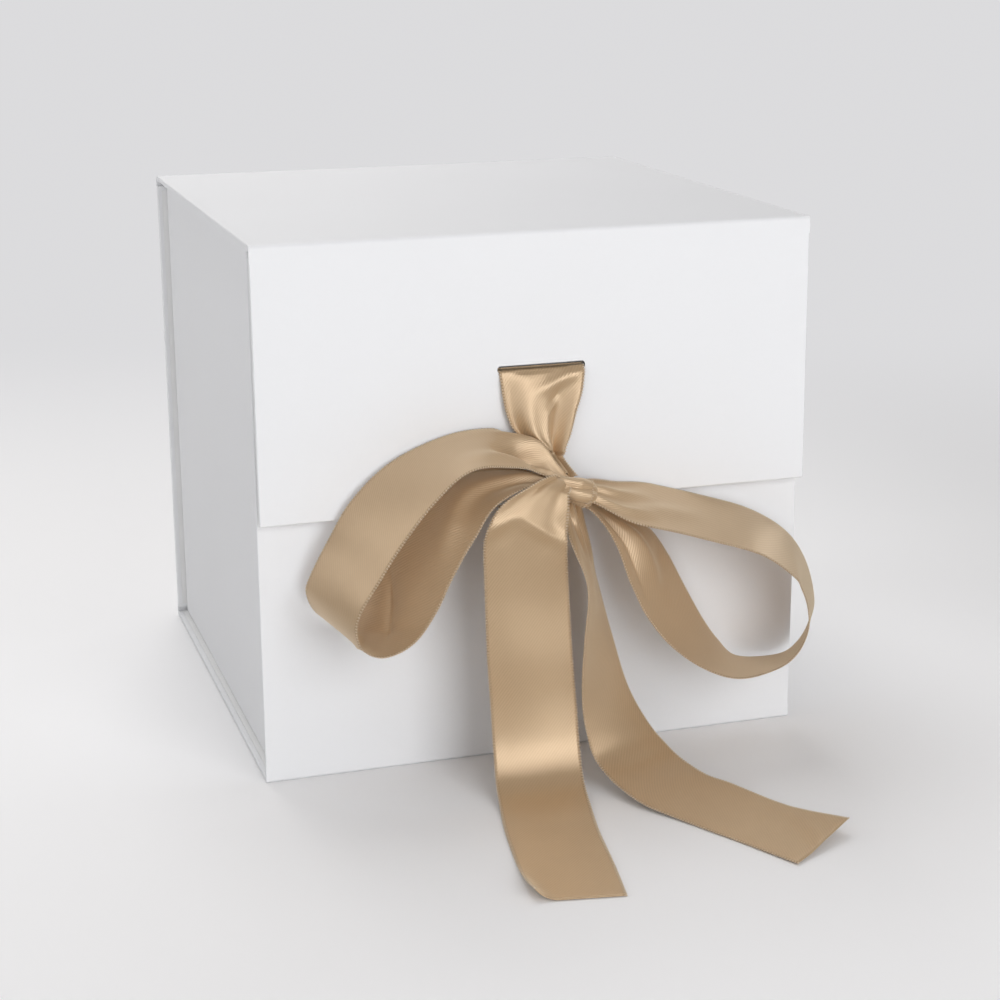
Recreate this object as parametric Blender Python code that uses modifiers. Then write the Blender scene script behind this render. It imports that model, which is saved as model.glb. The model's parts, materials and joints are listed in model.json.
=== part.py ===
"""Magnetic gift box, closed with a satin ribbon tied in a bow.

Five panels of paper-covered greyboard, all as wide as the box, follow each other in one strip: front
wall, base, back wall, lid and front flap. Paper creases join them. Two side walls stand on the base,
set in from the strip's edges. Magnets in the flap hold it to steel discs in the front wall. The
ribbon runs down behind the flap, round its lower edge and out through its slot, and the bow is tied
in front of the flap, so the bow travels with it.

Metres, +Z up. The front faces -Y and the origin is the middle of the base's underside.
"""
import math
from dataclasses import dataclass

import bmesh
import bpy
from mathutils import Matrix, Vector

# Outside of the closed box
BOX_WIDTH = 0.230
BOX_DEPTH = 0.220
BOX_HEIGHT = 0.2185
SIDE_INSET = 0.0042

# Make-up of a panel, from its outer face inwards: wrap, board, turned-in wrap, liner
PAPER = 0.0003
GREYBOARD = 0.0013
GLUE_LINE = 0.0002
TURN_IN = 0.015
LINER_MARGIN = 0.002
EDGE_ROUND = 0.00025
CLEARANCE = 0.0003
CREASE_GAP = 0.0015

# Front flap
FLAP_LENGTH = 0.109
FLAP_GAP = 0.0018
FLAP_SPLAY = math.radians(1.1)
SLOT_DROP = 0.054
SLOT_HEIGHT = 0.003
SLOT_PLAY = 0.0008

# Closure
MAGNET_DIAMETER = 0.010
DISC_DIAMETER = 0.012
RECESS_PLAY = 0.0003
MAGNET_INSET = 0.040
MAGNET_EDGE = 0.013

# Corner tabs that hold the side walls
TAB_LEG = 0.016
TAB_MARGIN = 0.008

# Ribbon and bow
RIBBON_WIDTH = 0.035
RIBBON_THICKNESS = 0.0005
KNOT_WIDTH = 0.0165
KNOT_DEPTH = 0.0130
KNOT_HEIGHT = 0.0110
KNOT_TILT = math.radians(24)
KNOT_X = 0.0073
KNOT_OUT = 0.0173
KNOT_RISE = 0.0090
PLEAT_DEPTH = 0.0016
PLEATS = 1.5
TAIL_LIFT = 0.0006
DRAWN_WIDTH = 35.0  # the ribbon's width in the units that the stations are drawn in

# Mesh fineness
SPANS_PER_STATION = 3
COLUMNS = 8
ROUND_SIDES = 32

RIBBON_UNIT = RIBBON_WIDTH / DRAWN_WIDTH
MAGNET_X = BOX_WIDTH / 2 - MAGNET_INSET
PANEL = 3 * PAPER + 3 * GLUE_LINE + GREYBOARD
FRONT_FACE = -BOX_DEPTH / 2
BACK_FACE = BOX_DEPTH / 2
FLAP_FACE = FRONT_FACE - FLAP_GAP - PANEL
CREASE = PANEL + CREASE_GAP
SIDE_FACE = BOX_WIDTH / 2 - SIDE_INSET
WALL_TOP = BOX_HEIGHT - PANEL - CLEARANCE

FLAP_HINGE = Vector((0.0, FLAP_FACE, BOX_HEIGHT))
FLAP_FRAME = Matrix.Translation(FLAP_HINGE) @ Matrix.Rotation(-FLAP_SPLAY, 4, "X")
FLAP_EDGE = FLAP_FRAME @ Vector((0.0, 0.0, -FLAP_LENGTH))

OUTER_PAPER = ("outer_paper", (0.86, 0.87, 0.89), 0.62, 0.0)
LINER_PAPER = ("liner_paper", (0.84, 0.84, 0.84), 0.70, 0.0)
BOARD = ("greyboard", (0.45, 0.43, 0.40), 0.90, 0.0)
STEEL = ("plated_steel", (0.75, 0.75, 0.76), 0.25, 1.0)
SATIN = ("champagne_satin", (0.47, 0.33, 0.21), 0.35, 0.0)


@dataclass(frozen=True)
class Station:
    """One place along the ribbon, in ribbon units: where it is and which way its width points.

    A ribbon unit is a millimetre as long as the ribbon is 35 mm wide. x runs from the slot's middle, out is how far the ribbon's rear edge stands in front of the
    flap's lower edge, and rise is the height above that edge.
    """

    x: float
    out: float
    rise: float
    across: tuple
    share: float = 1.0


LEFT_LOOP = (
    Station(5.5, 12.5, 12.0, (12, 31, 6), 0.25),
    Station(0, 11.0, 17.0, (15, 30, 7), 0.25),
    Station(-5.5, 8.0, 21.4, (15.5, 29.4, 10.9), 0.38),
    Station(-14.5, 4.4, 26.0, (15, 30, 9.5), 0.70),
    Station(-28.5, 2.0, 28.8, (12, 32, 7), 0.95),
    Station(-43, 1.6, 26.6, (4, 33.5, 8)),
    Station(-60, 2.6, 17, (-7, 33, 10)),
    Station(-74, 4.2, 3, (-11, 31, 11)),
    Station(-83, 3.7, -11, (-12, 32, 9)),
    Station(-90, 3.0, -23, (-12, 32, 6)),
    Station(-92, 2.3, -31, (-12, 32, 7)),
    Station(-88, 0.8, -40, (-11, 33, 6)),
    Station(-79, 0.5, -44, (-9, 34, 4)),
    Station(-69.5, 0.8, -37.8, (-14, 30.5, 9)),
    Station(-61.5, 1.2, -26, (-17, 28.5, 10.5)),
    Station(-55.5, 1.2, -14, (-18, 28.5, 9)),
    Station(-45, 1.2, 2.6, (-16, 29.5, 9.5)),
    Station(-34, 2.0, 12, (-12, 31.5, 9.5), 0.86),
    Station(-17.5, 5.8, 15.5, (-5, 33, 9.5), 0.58),
    Station(-6, 9.5, 14.0, (1, 33, 8), 0.36),
    Station(5, 12.0, 9.0, (6, 34, 4), 0.25),
)
RIGHT_LOOP = (
    Station(9, 11.0, 8.5, (-6, -30, -15), 0.28),
    Station(17, 8.5, 6.5, (-5, -31, -15), 0.42),
    Station(28, 4.4, 2, (-4, -32, -12), 0.75),
    Station(42, 1.4, -1, (-8, -32, -9)),
    Station(64, 0.8, -8, (-7, -33, -10)),
    Station(86, 0.8, -16, (-8, -33, -10)),
    Station(102, 0.8, -27, (-10, -32, -10)),
    Station(109, 0.8, -37, (-16, -31, -2)),
    Station(113, 1.4, -50, (-17, -29, 7)),
    Station(112, 1.4, -60, (-15, -30, 8)),
    Station(107, 1.4, -69, (-15, -31, 7)),
    Station(98, 1.4, -74, (-15, -31, 6)),
    Station(80, 1.4, -74, (-13, -33, 3)),
    Station(68, 1.4, -67, (-18, -30, -1)),
    Station(58, 1.4, -57, (-24, -25, -1)),
    Station(49, 1.4, -43, (-26, -23, -2)),
    Station(42, 1.4, -29, (-26, -23, -1)),
    Station(35, 2.4, -15, (-27, -23, 0), 0.80),
    Station(24, 5.4, -5, (-25, -24, 4), 0.50),
    Station(15, 9.0, 1, (-22, -22, 6), 0.32),
    Station(8, 11.5, 4.5, (-20, -20, 6), 0.24),
)
SLOT_STRAND = (
    Station(-0.4, 0.8, 45, (35, 0, 0), 0.93),
    Station(-1.3, 0.9, 37, (35, 1, -1), 0.80),
    Station(-1.1, 1.0, 29.6, (34, 2, -3), 0.64),
    Station(0.4, 1.3, 23.6, (32, 4, -8), 0.38),
    Station(2.6, 2.8, 18.4, (28, 6, -13), 0.20),
    Station(5.5, 11.5, 12.0, (26, 6, -10), 0.20),
)


@dataclass(frozen=True)
class TailStation:
    """One place along a hanging tail: level is its height as a share of the flap edge's height."""

    x: float
    out: float
    level: float
    across: tuple
    share: float = 1.0


LEFT_TAIL = (
    TailStation(1.5, 21.0, 1.125, (24, 0, -24), 0.24),
    TailStation(-4.5, 23.8, 1.110, (33, 4, -10), 0.42),
    TailStation(-10.5, 25.3, 1.062, (34, 3, -6), 0.73),
    TailStation(-14.6, 26.0, 0.990, (34, 2, -7), 0.93),
    TailStation(-15.8, 26.3, 0.905, (34, 1, -6)),
    TailStation(-15, 26.3, 0.712, (35, 0, -4)),
    TailStation(-14.5, 27.0, 0.493, (35, -2, -3)),
    TailStation(-13.5, 28.0, 0.310, (35, -3, -2)),
    TailStation(-13.5, 31.0, 0.160, (35, -4, -2)),
    TailStation(-14.5, 37.5, 0.055, (34, -5, -1)),
    TailStation(-16.5, 49.5, 0.006, (34, -6, 0)),
    TailStation(-21.0, 70.0, 0.0, (34, -8, 0)),
    TailStation(-26.0, 101.5, 0.0, (34, -6, 0)),
    TailStation(-30.5, 126.0, 0.0, (34, -6, 0)),
)
RIGHT_TAIL = (
    TailStation(7, 12.5, 1.036, (24, 14, -8), 0.28),
    TailStation(9.5, 6.0, 0.940, (22, 25, -8), 0.56),
    TailStation(12.5, 4.5, 0.800, (16, 30, -9)),
    TailStation(15.7, 4.0, 0.680, (16, 30, -9)),
    TailStation(17, 7.5, 0.517, (21, 26, -9)),
    TailStation(19, 13.5, 0.325, (27, 20, -9)),
    TailStation(22.5, 23.5, 0.185, (32, 12, -7)),
    TailStation(27.5, 35.0, 0.080, (34, 6, -1)),
    TailStation(34.5, 51.0, 0.034, (33, 11, 2)),
    TailStation(43.5, 61.0, 0.018, (30.5, 17, 3)),
    TailStation(54.0, 78.5, 0.009, (30, 18, 2)),
    TailStation(60.5, 90.5, 0.009, (30, 18, 2)),
    TailStation(70.5, 110.5, 0.017, (30, 18, 3)),
)


def clear_scene():
    """Remove whatever objects the file holds."""
    for thing in list(bpy.data.objects):
        bpy.data.objects.remove(thing, do_unlink=True)


def new_collection(name):
    """Return a new collection linked to the scene."""
    group = bpy.data.collections.new(name)
    bpy.context.scene.collection.children.link(group)
    return group


def material(finish):
    """Return the Principled material of a finish, made once."""
    name, colour, roughness, metallic = finish
    known = bpy.data.materials.get(name)
    if known:
        return known
    made = bpy.data.materials.new(name)
    made.use_nodes = True
    shader = made.node_tree.nodes["Principled BSDF"]
    shader.inputs["Base Color"].default_value = (*colour, 1.0)
    shader.inputs["Roughness"].default_value = roughness
    shader.inputs["Metallic"].default_value = metallic
    made.diffuse_color = (*colour, 1.0)
    return made


class Seat:
    """Where a piece is built: its parent and its location and rotation under that parent."""

    def __init__(self, parent, location=(0.0, 0.0, 0.0), rotation=(0.0, 0.0, 0.0)):
        self.parent = parent
        self.location = location
        self.rotation = rotation

    def take(self, thing):
        """Put an object on this seat."""
        thing.parent = self.parent
        thing.location = self.location
        thing.rotation_euler = self.rotation


def add_object(name, mesh, group, seat, finish=None):
    """Make an object of a mesh, in a collection, on a seat."""
    thing = bpy.data.objects.new(name, mesh)
    group.objects.link(thing)
    seat.take(thing)
    if finish:
        mesh.materials.append(material(finish))
    return thing


def mesh_of(name, shape):
    """Turn a finished bmesh into a mesh with its faces pointing out."""
    bmesh.ops.recalc_face_normals(shape, faces=shape.faces)
    mesh = bpy.data.meshes.new(name)
    shape.to_mesh(mesh)
    shape.free()
    return mesh


def block(name, low, high):
    """Return the mesh of a block between two corners."""
    shape = bmesh.new()
    bmesh.ops.create_cube(shape, size=1.0)
    size = Vector(high) - Vector(low)
    middle = (Vector(high) + Vector(low)) / 2
    bmesh.ops.scale(shape, vec=size, verts=shape.verts)
    bmesh.ops.translate(shape, vec=middle, verts=shape.verts)
    return mesh_of(name, shape)


def disc(name, x, y, diameter, low, high):
    """Return the mesh of a disc that stands on the panel's plane."""
    shape = bmesh.new()
    bmesh.ops.create_cone(
        shape, cap_ends=True, segments=ROUND_SIDES, radius1=diameter / 2, radius2=diameter / 2,
        depth=high - low, matrix=Matrix.Translation((x, y, (low + high) / 2)))
    return mesh_of(name, shape)


def slot_block(name, width, height, y, low, high):
    """Return the mesh of a slot with round ends, right through a panel."""
    shape = bmesh.new()
    bmesh.ops.create_cube(shape, size=1.0)
    bmesh.ops.scale(shape, vec=(width, height, high - low), verts=shape.verts)
    bmesh.ops.translate(shape, vec=(0.0, y, (low + high) / 2), verts=shape.verts)
    upright = [edge for edge in shape.edges if abs(edge.verts[0].co.z - edge.verts[1].co.z) > height / 2]
    bmesh.ops.bevel(shape, geom=upright, offset=height * 0.48, segments=5, profile=0.5, affect="EDGES")
    return mesh_of(name, shape)


def bevel(thing, width, segments=2):
    """Round an object's edges."""
    rounding = thing.modifiers.new("edge rounding", "BEVEL")
    rounding.width = width
    rounding.segments = segments
    rounding.limit_method = "ANGLE"


def cut(thing, cutter):
    """Take a cutter's shape out of an object."""
    boolean = thing.modifiers.new("cut " + cutter.name, "BOOLEAN")
    boolean.operation = "DIFFERENCE"
    boolean.solver = "EXACT"
    boolean.object = cutter


class Workshop:
    """The two collections and the three frames that pieces are made in."""

    def __init__(self):
        self.parts = new_collection("magnetic_gift_box")
        self.cutters = new_collection("cutters")
        self.case = self.pivot("case_frame", Matrix.Identity(4))
        self.lid = self.pivot("lid_pivot", Matrix.Translation((0.0, BACK_FACE, BOX_HEIGHT)))
        self.flap = self.pivot("flap_pivot", FLAP_FRAME)

    def pivot(self, name, frame):
        """Add an empty that stands on a body's joint axis."""
        empty = bpy.data.objects.new(name, None)
        self.parts.objects.link(empty)
        empty.matrix_world = frame
        return empty

    def piece(self, name, mesh, seat, finish):
        """Add a piece of the box."""
        return add_object(name, mesh, self.parts, seat, finish)

    def cutter(self, name, mesh, seat):
        """Add a cutter, which isn't part of the box."""
        tool = add_object(name, mesh, self.cutters, seat)
        tool.hide_render = True
        tool.display_type = "WIRE"
        return tool


@dataclass(frozen=True)
class PanelPlan:
    """A panel on its own plane: X across, Y along, and Z from the outer face inwards."""

    name: str
    width: float
    start: float
    end: float
    recesses: tuple = ()
    recess_diameter: float = 0.0
    slot: bool = False

    def slab(self, name, inset, low, high):
        """Return a block of the panel's outline, drawn in from its edges."""
        half = self.width / 2 - inset
        return block(name, (-half, self.start + inset, low), (half, self.end - inset, high))


def add_panel(shop, plan, seat):
    """Add a panel's three pieces: the wrap with turned-in edges, the board and the liner."""
    board_low = PAPER + GLUE_LINE
    board_high = board_low + GREYBOARD
    flange_low = board_high + GLUE_LINE
    flange_high = flange_low + PAPER
    liner_low = flange_high + GLUE_LINE

    wrap = shop.piece(plan.name + "_wrap", plan.slab("wrap", 0.0, 0.0, flange_high), seat, OUTER_PAPER)
    bevel(wrap, EDGE_ROUND)
    hollow = plan.slab("hollow", PAPER, PAPER, flange_low)
    cut(wrap, shop.cutter(plan.name + "_hollow", hollow, seat))
    mouth = plan.slab("mouth", TURN_IN, (PAPER + flange_low) / 2, PANEL)
    cut(wrap, shop.cutter(plan.name + "_mouth", mouth, seat))
    board = shop.piece(
        plan.name + "_board", plan.slab("board", board_low, board_low, board_high), seat, BOARD)
    liner = shop.piece(
        plan.name + "_liner", plan.slab("liner", LINER_MARGIN, liner_low, PANEL), seat, LINER_PAPER)

    for x, y in plan.recesses:
        side = "left" if x < 0 else "right"
        hole = disc("recess", x, y, plan.recess_diameter + 2 * RECESS_PLAY, -PAPER, PANEL)
        cut(board, shop.cutter(plan.name + "_recess_" + side, hole, seat))
    if plan.slot:
        opening = slot_block(
            "slot", RIBBON_WIDTH + 2 * SLOT_PLAY, SLOT_HEIGHT, SLOT_DROP, -PAPER, PANEL + PAPER)
        tool = shop.cutter(plan.name + "_slot", opening, seat)
        for layer in (wrap, board, liner):
            cut(layer, tool)


def add_case(shop):
    """Add the base, the front and back walls and the two side walls."""
    wall_foot = CREASE + CLEARANCE
    front_height = WALL_TOP - wall_foot
    back_height = BOX_HEIGHT - CREASE - CLEARANCE - wall_foot
    strip_end = BOX_DEPTH / 2 - PAPER - CLEARANCE

    base = PanelPlan("base", BOX_WIDTH, -strip_end, strip_end)
    add_panel(shop, base, Seat(shop.case))

    back = PanelPlan("back", BOX_WIDTH, -back_height / 2, back_height / 2)
    back_middle = wall_foot + back_height / 2
    add_panel(shop, back, Seat(shop.case, (0.0, BACK_FACE, back_middle), (math.pi / 2, 0.0, 0.0)))

    front_middle = wall_foot + front_height / 2
    magnet_drop = FLAP_FRAME @ Vector((0.0, 0.0, -(FLAP_LENGTH - MAGNET_EDGE)))
    disc_y = front_middle - magnet_drop.z
    discs = ((-MAGNET_X, disc_y), (MAGNET_X, disc_y))
    front = PanelPlan(
        "front", BOX_WIDTH, -front_height / 2, front_height / 2, discs, DISC_DIAMETER)
    front_seat = Seat(shop.case, (0.0, FRONT_FACE, front_middle), (-math.pi / 2, 0.0, 0.0))
    add_panel(shop, front, front_seat)
    add_closure(shop, "steel_disc", discs, DISC_DIAMETER, front_seat)

    side_foot = PANEL + CLEARANCE
    side_height = WALL_TOP - side_foot
    side_reach = BOX_DEPTH / 2 - PANEL - CLEARANCE
    side_middle = side_foot + side_height / 2
    for name, sign in (("left_side", -1), ("right_side", 1)):
        side = PanelPlan(name, side_height, -side_reach, side_reach)
        turn = (0.0, -sign * math.pi / 2, 0.0)
        add_panel(shop, side, Seat(shop.case, (sign * SIDE_FACE, 0.0, side_middle), turn))


def add_lid(shop):
    """Add the lid panel, whose pivot is the crease along the top of the back wall."""
    depth = BACK_FACE - FLAP_FACE - 2 * (PAPER + CLEARANCE)
    middle = -(PAPER + CLEARANCE) - depth / 2
    lid = PanelPlan("lid", BOX_WIDTH, -depth / 2, depth / 2)
    add_panel(shop, lid, Seat(shop.lid, (0.0, middle, 0.0), (math.pi, 0.0, 0.0)))


def add_flap(shop):
    """Add the front flap with its slot and magnets, hung from the lid's front crease."""
    magnet_y = FLAP_LENGTH - MAGNET_EDGE
    magnets = ((-MAGNET_X, magnet_y), (MAGNET_X, magnet_y))
    seat = Seat(shop.flap, (0.0, 0.0, 0.0), (-math.pi / 2, 0.0, 0.0))
    flap = PanelPlan(
        "flap", BOX_WIDTH, CREASE + CLEARANCE, FLAP_LENGTH, magnets, MAGNET_DIAMETER, True)
    add_panel(shop, flap, seat)
    add_closure(shop, "magnet", magnets, MAGNET_DIAMETER, seat)


def add_closure(shop, name, places, diameter, seat):
    """Add the magnets or steel discs that lie in a board's recesses."""
    low = PAPER + GLUE_LINE
    for x, y in places:
        side = "left" if x < 0 else "right"
        shape = disc(name, x, y, diameter, low, low + GREYBOARD)
        shop.piece(side + "_" + name, shape, seat, STEEL)


def add_creases(shop):
    """Add the paper that bridges each corner of the strip, between one panel and the next."""
    half = BOX_WIDTH / 2
    for name, face, foot in (
            ("front_base_crease", FRONT_FACE + PAPER, 0.0),
            ("rear_base_crease", BACK_FACE, 0.0),
            ("lid_crease", BACK_FACE, BOX_HEIGHT - CREASE)):
        shape = block(name, (-half, face - PAPER, foot), (half, face, foot + CREASE))
        shop.piece(name, shape, Seat(shop.case), OUTER_PAPER)
    shape = block("flap_crease", (-half, 0.0, -CREASE), (half, PAPER, 0.0))
    shop.piece("flap_crease", shape, Seat(shop.flap), OUTER_PAPER)


def add_corner_tabs(shop):
    """Add the angled paper tabs that hold each side wall to the front and back walls."""
    skin = GLUE_LINE + PAPER / 2
    low = PANEL + TAB_MARGIN
    high = WALL_TOP - TAB_MARGIN
    for side, across in (("left", -1), ("right", 1)):
        for end, along in (("front", -1), ("rear", 1)):
            corner = Vector((across * (SIDE_FACE - PANEL - skin), along * (BACK_FACE - PANEL - skin), 0.0))
            legs = (
                corner - Vector((0.0, along * TAB_LEG, 0.0)),
                corner,
                corner - Vector((across * TAB_LEG, 0.0, 0.0)))
            shape = bmesh.new()
            feet = [shape.verts.new((leg.x, leg.y, low)) for leg in legs]
            heads = [shape.verts.new((leg.x, leg.y, high)) for leg in legs]
            for near in (0, 1):
                shape.faces.new((feet[near], feet[near + 1], heads[near + 1], heads[near]))
            mesh = mesh_of("tab", shape)
            tab = shop.piece(side + "_" + end + "_tab", mesh, Seat(shop.case), OUTER_PAPER)
            thicken(tab, PAPER)


def thicken(thing, thickness):
    """Give an open sheet its thickness, half to each side."""
    wall = thing.modifiers.new("thickness", "SOLIDIFY")
    wall.thickness = thickness
    wall.offset = 0.0
    wall.use_even_offset = True


@dataclass(frozen=True)
class Rung:
    """One line across the ribbon, in metres: its middle, its width direction and its gathering."""

    middle: Vector
    across: Vector
    share: float


def rung(x, out, height, across, share):
    """Stand a rung so that its rear edge is the given distance in front of the flap's lower edge."""
    way = Vector(across).normalized()
    reach = abs(way.y) * RIBBON_WIDTH * share / 2
    return Rung(Vector((x * RIBBON_UNIT, FLAP_EDGE.y - out * RIBBON_UNIT - reach, height)), way, share)


def bow_rungs(stations):
    """Place the bow's stations, which follow the flap's lower edge."""
    return [rung(s.x, s.out, FLAP_EDGE.z + s.rise * RIBBON_UNIT, s.across, s.share) for s in stations]


def tail_rungs(stations):
    """Place a tail's stations, which run from the flap's lower edge down to the floor."""
    drop = FLAP_EDGE.z - TAIL_LIFT
    return [rung(s.x, s.out, TAIL_LIFT + s.level * drop, s.across, s.share) for s in stations]


def curve_point(before, start, end, after, t):
    """Return the point at t on the smooth curve from start to end."""
    return 0.5 * (
        2 * start + (end - before) * t
        + (2 * before - 5 * start + 4 * end - after) * t ** 2
        + (3 * start - before - 3 * end + after) * t ** 3)


def smooth_rungs(rungs):
    """Return rungs on a smooth run through the given ones."""
    run = []
    last = len(rungs) - 1
    for index in range(last):
        four = [rungs[min(max(index + step, 0), last)] for step in (-1, 0, 1, 2)]
        steps = SPANS_PER_STATION + (1 if index == last - 1 else 0)
        for step in range(steps):
            t = step / SPANS_PER_STATION
            middle = curve_point(*[r.middle for r in four], t)
            across = curve_point(*[r.across for r in four], t).normalized()
            share = curve_point(*[r.share for r in four], t)
            run.append(Rung(middle, across, share))
    return run


def sheet_mesh(name, rungs):
    """Loft the ribbon through its rungs, with pleats where it is gathered."""
    shape = bmesh.new()
    rows = []
    for index, here in enumerate(rungs):
        ahead = rungs[min(index + 1, len(rungs) - 1)].middle - rungs[max(index - 1, 0)].middle
        face = ahead.cross(here.across).normalized()
        depth = PLEAT_DEPTH * (1 - here.share)
        row = []
        for column in range(COLUMNS + 1):
            v = column / COLUMNS - 0.5
            spot = here.middle + here.across * (v * RIBBON_WIDTH * here.share)
            row.append(shape.verts.new(spot + face * (depth * math.sin(2 * math.pi * PLEATS * v))))
        rows.append(row)
    for near, far in zip(rows, rows[1:]):
        for column in range(COLUMNS):
            shape.faces.new((near[column], near[column + 1], far[column + 1], far[column]))
    bmesh.ops.transform(shape, matrix=FLAP_FRAME.inverted(), verts=shape.verts)
    return mesh_of(name, shape)


def back_strand_rungs():
    """Run the ribbon from the slot down behind the flap, round its lower edge and to the knot."""
    behind = PANEL + CLEARANCE + RIBBON_THICKNESS / 2
    below = FLAP_LENGTH + CLEARANCE + RIBBON_THICKNESS / 2
    unit = RIBBON_UNIT
    flat = Vector((1.0, 0.0, 0.0))
    route = (
        (0.0, PANEL * 0.7, SLOT_DROP - SLOT_HEIGHT * 0.1, 1.0),
        (0.0, PANEL + 3 * CLEARANCE, SLOT_DROP + SLOT_HEIGHT * 0.35, 1.0),
        (0.0, behind + CLEARANCE, SLOT_DROP + SLOT_HEIGHT * 1.3, 1.0),
        (0.0, behind, SLOT_DROP + SLOT_HEIGHT * 3, 1.0),
        (0.0, behind, FLAP_LENGTH * 0.75, 1.0),
        (0.0, behind, FLAP_LENGTH - 2 * unit, 1.0),
        (0.0, PANEL * 0.6, below + 0.8 * unit, 1.0),
        (0.5 * unit, -2.0 * unit, below + 0.6 * unit, 0.86),
        (3.5 * unit, -7.0 * unit, FLAP_LENGTH - 1.5 * unit, 0.50),
        (KNOT_X, -13.0 * unit, FLAP_LENGTH - 5.5 * unit, 0.26))
    return [Rung(FLAP_FRAME @ Vector((x, y, -drop)), flat, share) for x, y, drop, share in route]


def slot_strand_rungs():
    """Bring the ribbon out of the slot and down in front of the flap to the knot."""
    proud = CLEARANCE + RIBBON_THICKNESS / 2
    flat = Vector((1.0, 0.0, 0.0))
    inside = FLAP_FRAME @ Vector((0.0, PANEL * 0.4, -(SLOT_DROP - SLOT_HEIGHT * 0.05)))
    outside = FLAP_FRAME @ Vector((0.0, -proud, -(SLOT_DROP + SLOT_HEIGHT * 0.35)))
    start = [Rung(inside, flat, 1.0), Rung(outside, flat, 1.0)]
    return start + bow_rungs(SLOT_STRAND)


def knot_cage(name, growth):
    """Return the coarse cage of the knot, grown by a clearance on every side."""
    shape = bmesh.new()
    bmesh.ops.create_cube(shape, size=1.0)
    bmesh.ops.subdivide_edges(shape, edges=shape.edges, cuts=1, use_grid_fill=True)
    size = Vector((KNOT_WIDTH, KNOT_DEPTH, KNOT_HEIGHT)) + Vector((2 * growth,) * 3)
    bmesh.ops.scale(shape, vec=size, verts=shape.verts)
    middle = Vector((KNOT_X, FLAP_EDGE.y - KNOT_OUT, FLAP_EDGE.z + KNOT_RISE))
    place = Matrix.Translation(middle) @ Matrix.Rotation(KNOT_TILT, 4, "Y")
    bmesh.ops.transform(shape, matrix=FLAP_FRAME.inverted() @ place, verts=shape.verts)
    return mesh_of(name, shape)


def soften(thing):
    """Round a coarse cage into a soft form."""
    smooth = thing.modifiers.new("soft form", "SUBSURF")
    smooth.levels = 2
    smooth.render_levels = 2


def add_bow(shop):
    """Add the ribbon: its strand behind the flap, the slot strand, the knot, loops and tails."""
    seat = Seat(shop.flap)
    knot = shop.piece("bow_knot", knot_cage("knot", 0.0), seat, SATIN)
    soften(knot)
    room = shop.cutter("knot_room", knot_cage("knot_room", CLEARANCE), seat)
    soften(room)
    for name, rungs in (
            ("ribbon_back_strand", back_strand_rungs()),
            ("ribbon_slot_strand", slot_strand_rungs()),
            ("bow_left_loop", bow_rungs(LEFT_LOOP)),
            ("bow_right_loop", bow_rungs(RIGHT_LOOP)),
            ("left_tail", tail_rungs(LEFT_TAIL)),
            ("right_tail", tail_rungs(RIGHT_TAIL))):
        strand = shop.piece(name, sheet_mesh(name, smooth_rungs(rungs)), seat, SATIN)
        thicken(strand, RIBBON_THICKNESS)
        cut(strand, room)
    for thing in shop.parts.objects:
        if thing.type == "MESH" and thing.data.materials[0].name == SATIN[0]:
            thing.data.shade_smooth()


def main():
    """Build the whole box."""
    clear_scene()
    shop = Workshop()
    add_case(shop)
    add_lid(shop)
    add_flap(shop)
    add_creases(shop)
    add_corner_tabs(shop)
    add_bow(shop)
    bpy.context.view_layer.update()


main()
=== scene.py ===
"""Looks of the magnetic gift box: matt white paper over board, and a champagne satin bow on the flap.

The boards, liners, corner tabs, magnets and discs are the frame's own solids in finished materials.
The wraps, creases and every stretch of ribbon are modelled here and stand for the frame's plain ones.
"""
import json
import logging
import math
from dataclasses import dataclass
from enum import Enum
from functools import cache

import bmesh
import bpy
import numpy as np
from mathutils import Matrix, Vector


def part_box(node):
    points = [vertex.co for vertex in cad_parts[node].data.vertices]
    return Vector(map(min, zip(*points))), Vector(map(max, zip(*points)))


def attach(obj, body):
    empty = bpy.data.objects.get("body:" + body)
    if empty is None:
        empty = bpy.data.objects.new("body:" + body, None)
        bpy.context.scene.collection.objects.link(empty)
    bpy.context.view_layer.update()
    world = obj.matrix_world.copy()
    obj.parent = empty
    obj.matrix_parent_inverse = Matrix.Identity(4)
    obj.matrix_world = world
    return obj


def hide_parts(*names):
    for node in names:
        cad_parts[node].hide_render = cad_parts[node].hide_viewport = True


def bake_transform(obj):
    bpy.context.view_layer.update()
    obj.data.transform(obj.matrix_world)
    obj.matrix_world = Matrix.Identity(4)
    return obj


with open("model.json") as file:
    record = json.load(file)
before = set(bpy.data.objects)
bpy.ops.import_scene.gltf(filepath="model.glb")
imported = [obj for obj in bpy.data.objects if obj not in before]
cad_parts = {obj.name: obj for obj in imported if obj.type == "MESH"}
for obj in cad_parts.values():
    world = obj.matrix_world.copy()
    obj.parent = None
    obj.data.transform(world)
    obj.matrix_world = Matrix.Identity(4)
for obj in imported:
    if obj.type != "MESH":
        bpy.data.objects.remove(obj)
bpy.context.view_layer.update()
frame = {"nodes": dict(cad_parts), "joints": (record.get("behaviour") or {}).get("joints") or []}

MM = 0.001
RIBBON_WIDTH = 35 * MM
RIB_PITCH = 1.2 * MM
log = logging.getLogger("magnetic_gift_box")


class Body(str, Enum):
    """The moving bodies of the box."""

    CASE = "case"
    LID = "lid"
    FLAP = "flap"


class Slot(str, Enum):
    """The record's material slots."""

    OUTER_PAPER = "outer_paper"
    LINER_PAPER = "liner_paper"
    GREYBOARD = "greyboard"
    STEEL = "plated_steel"
    SATIN = "champagne_satin"


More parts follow.
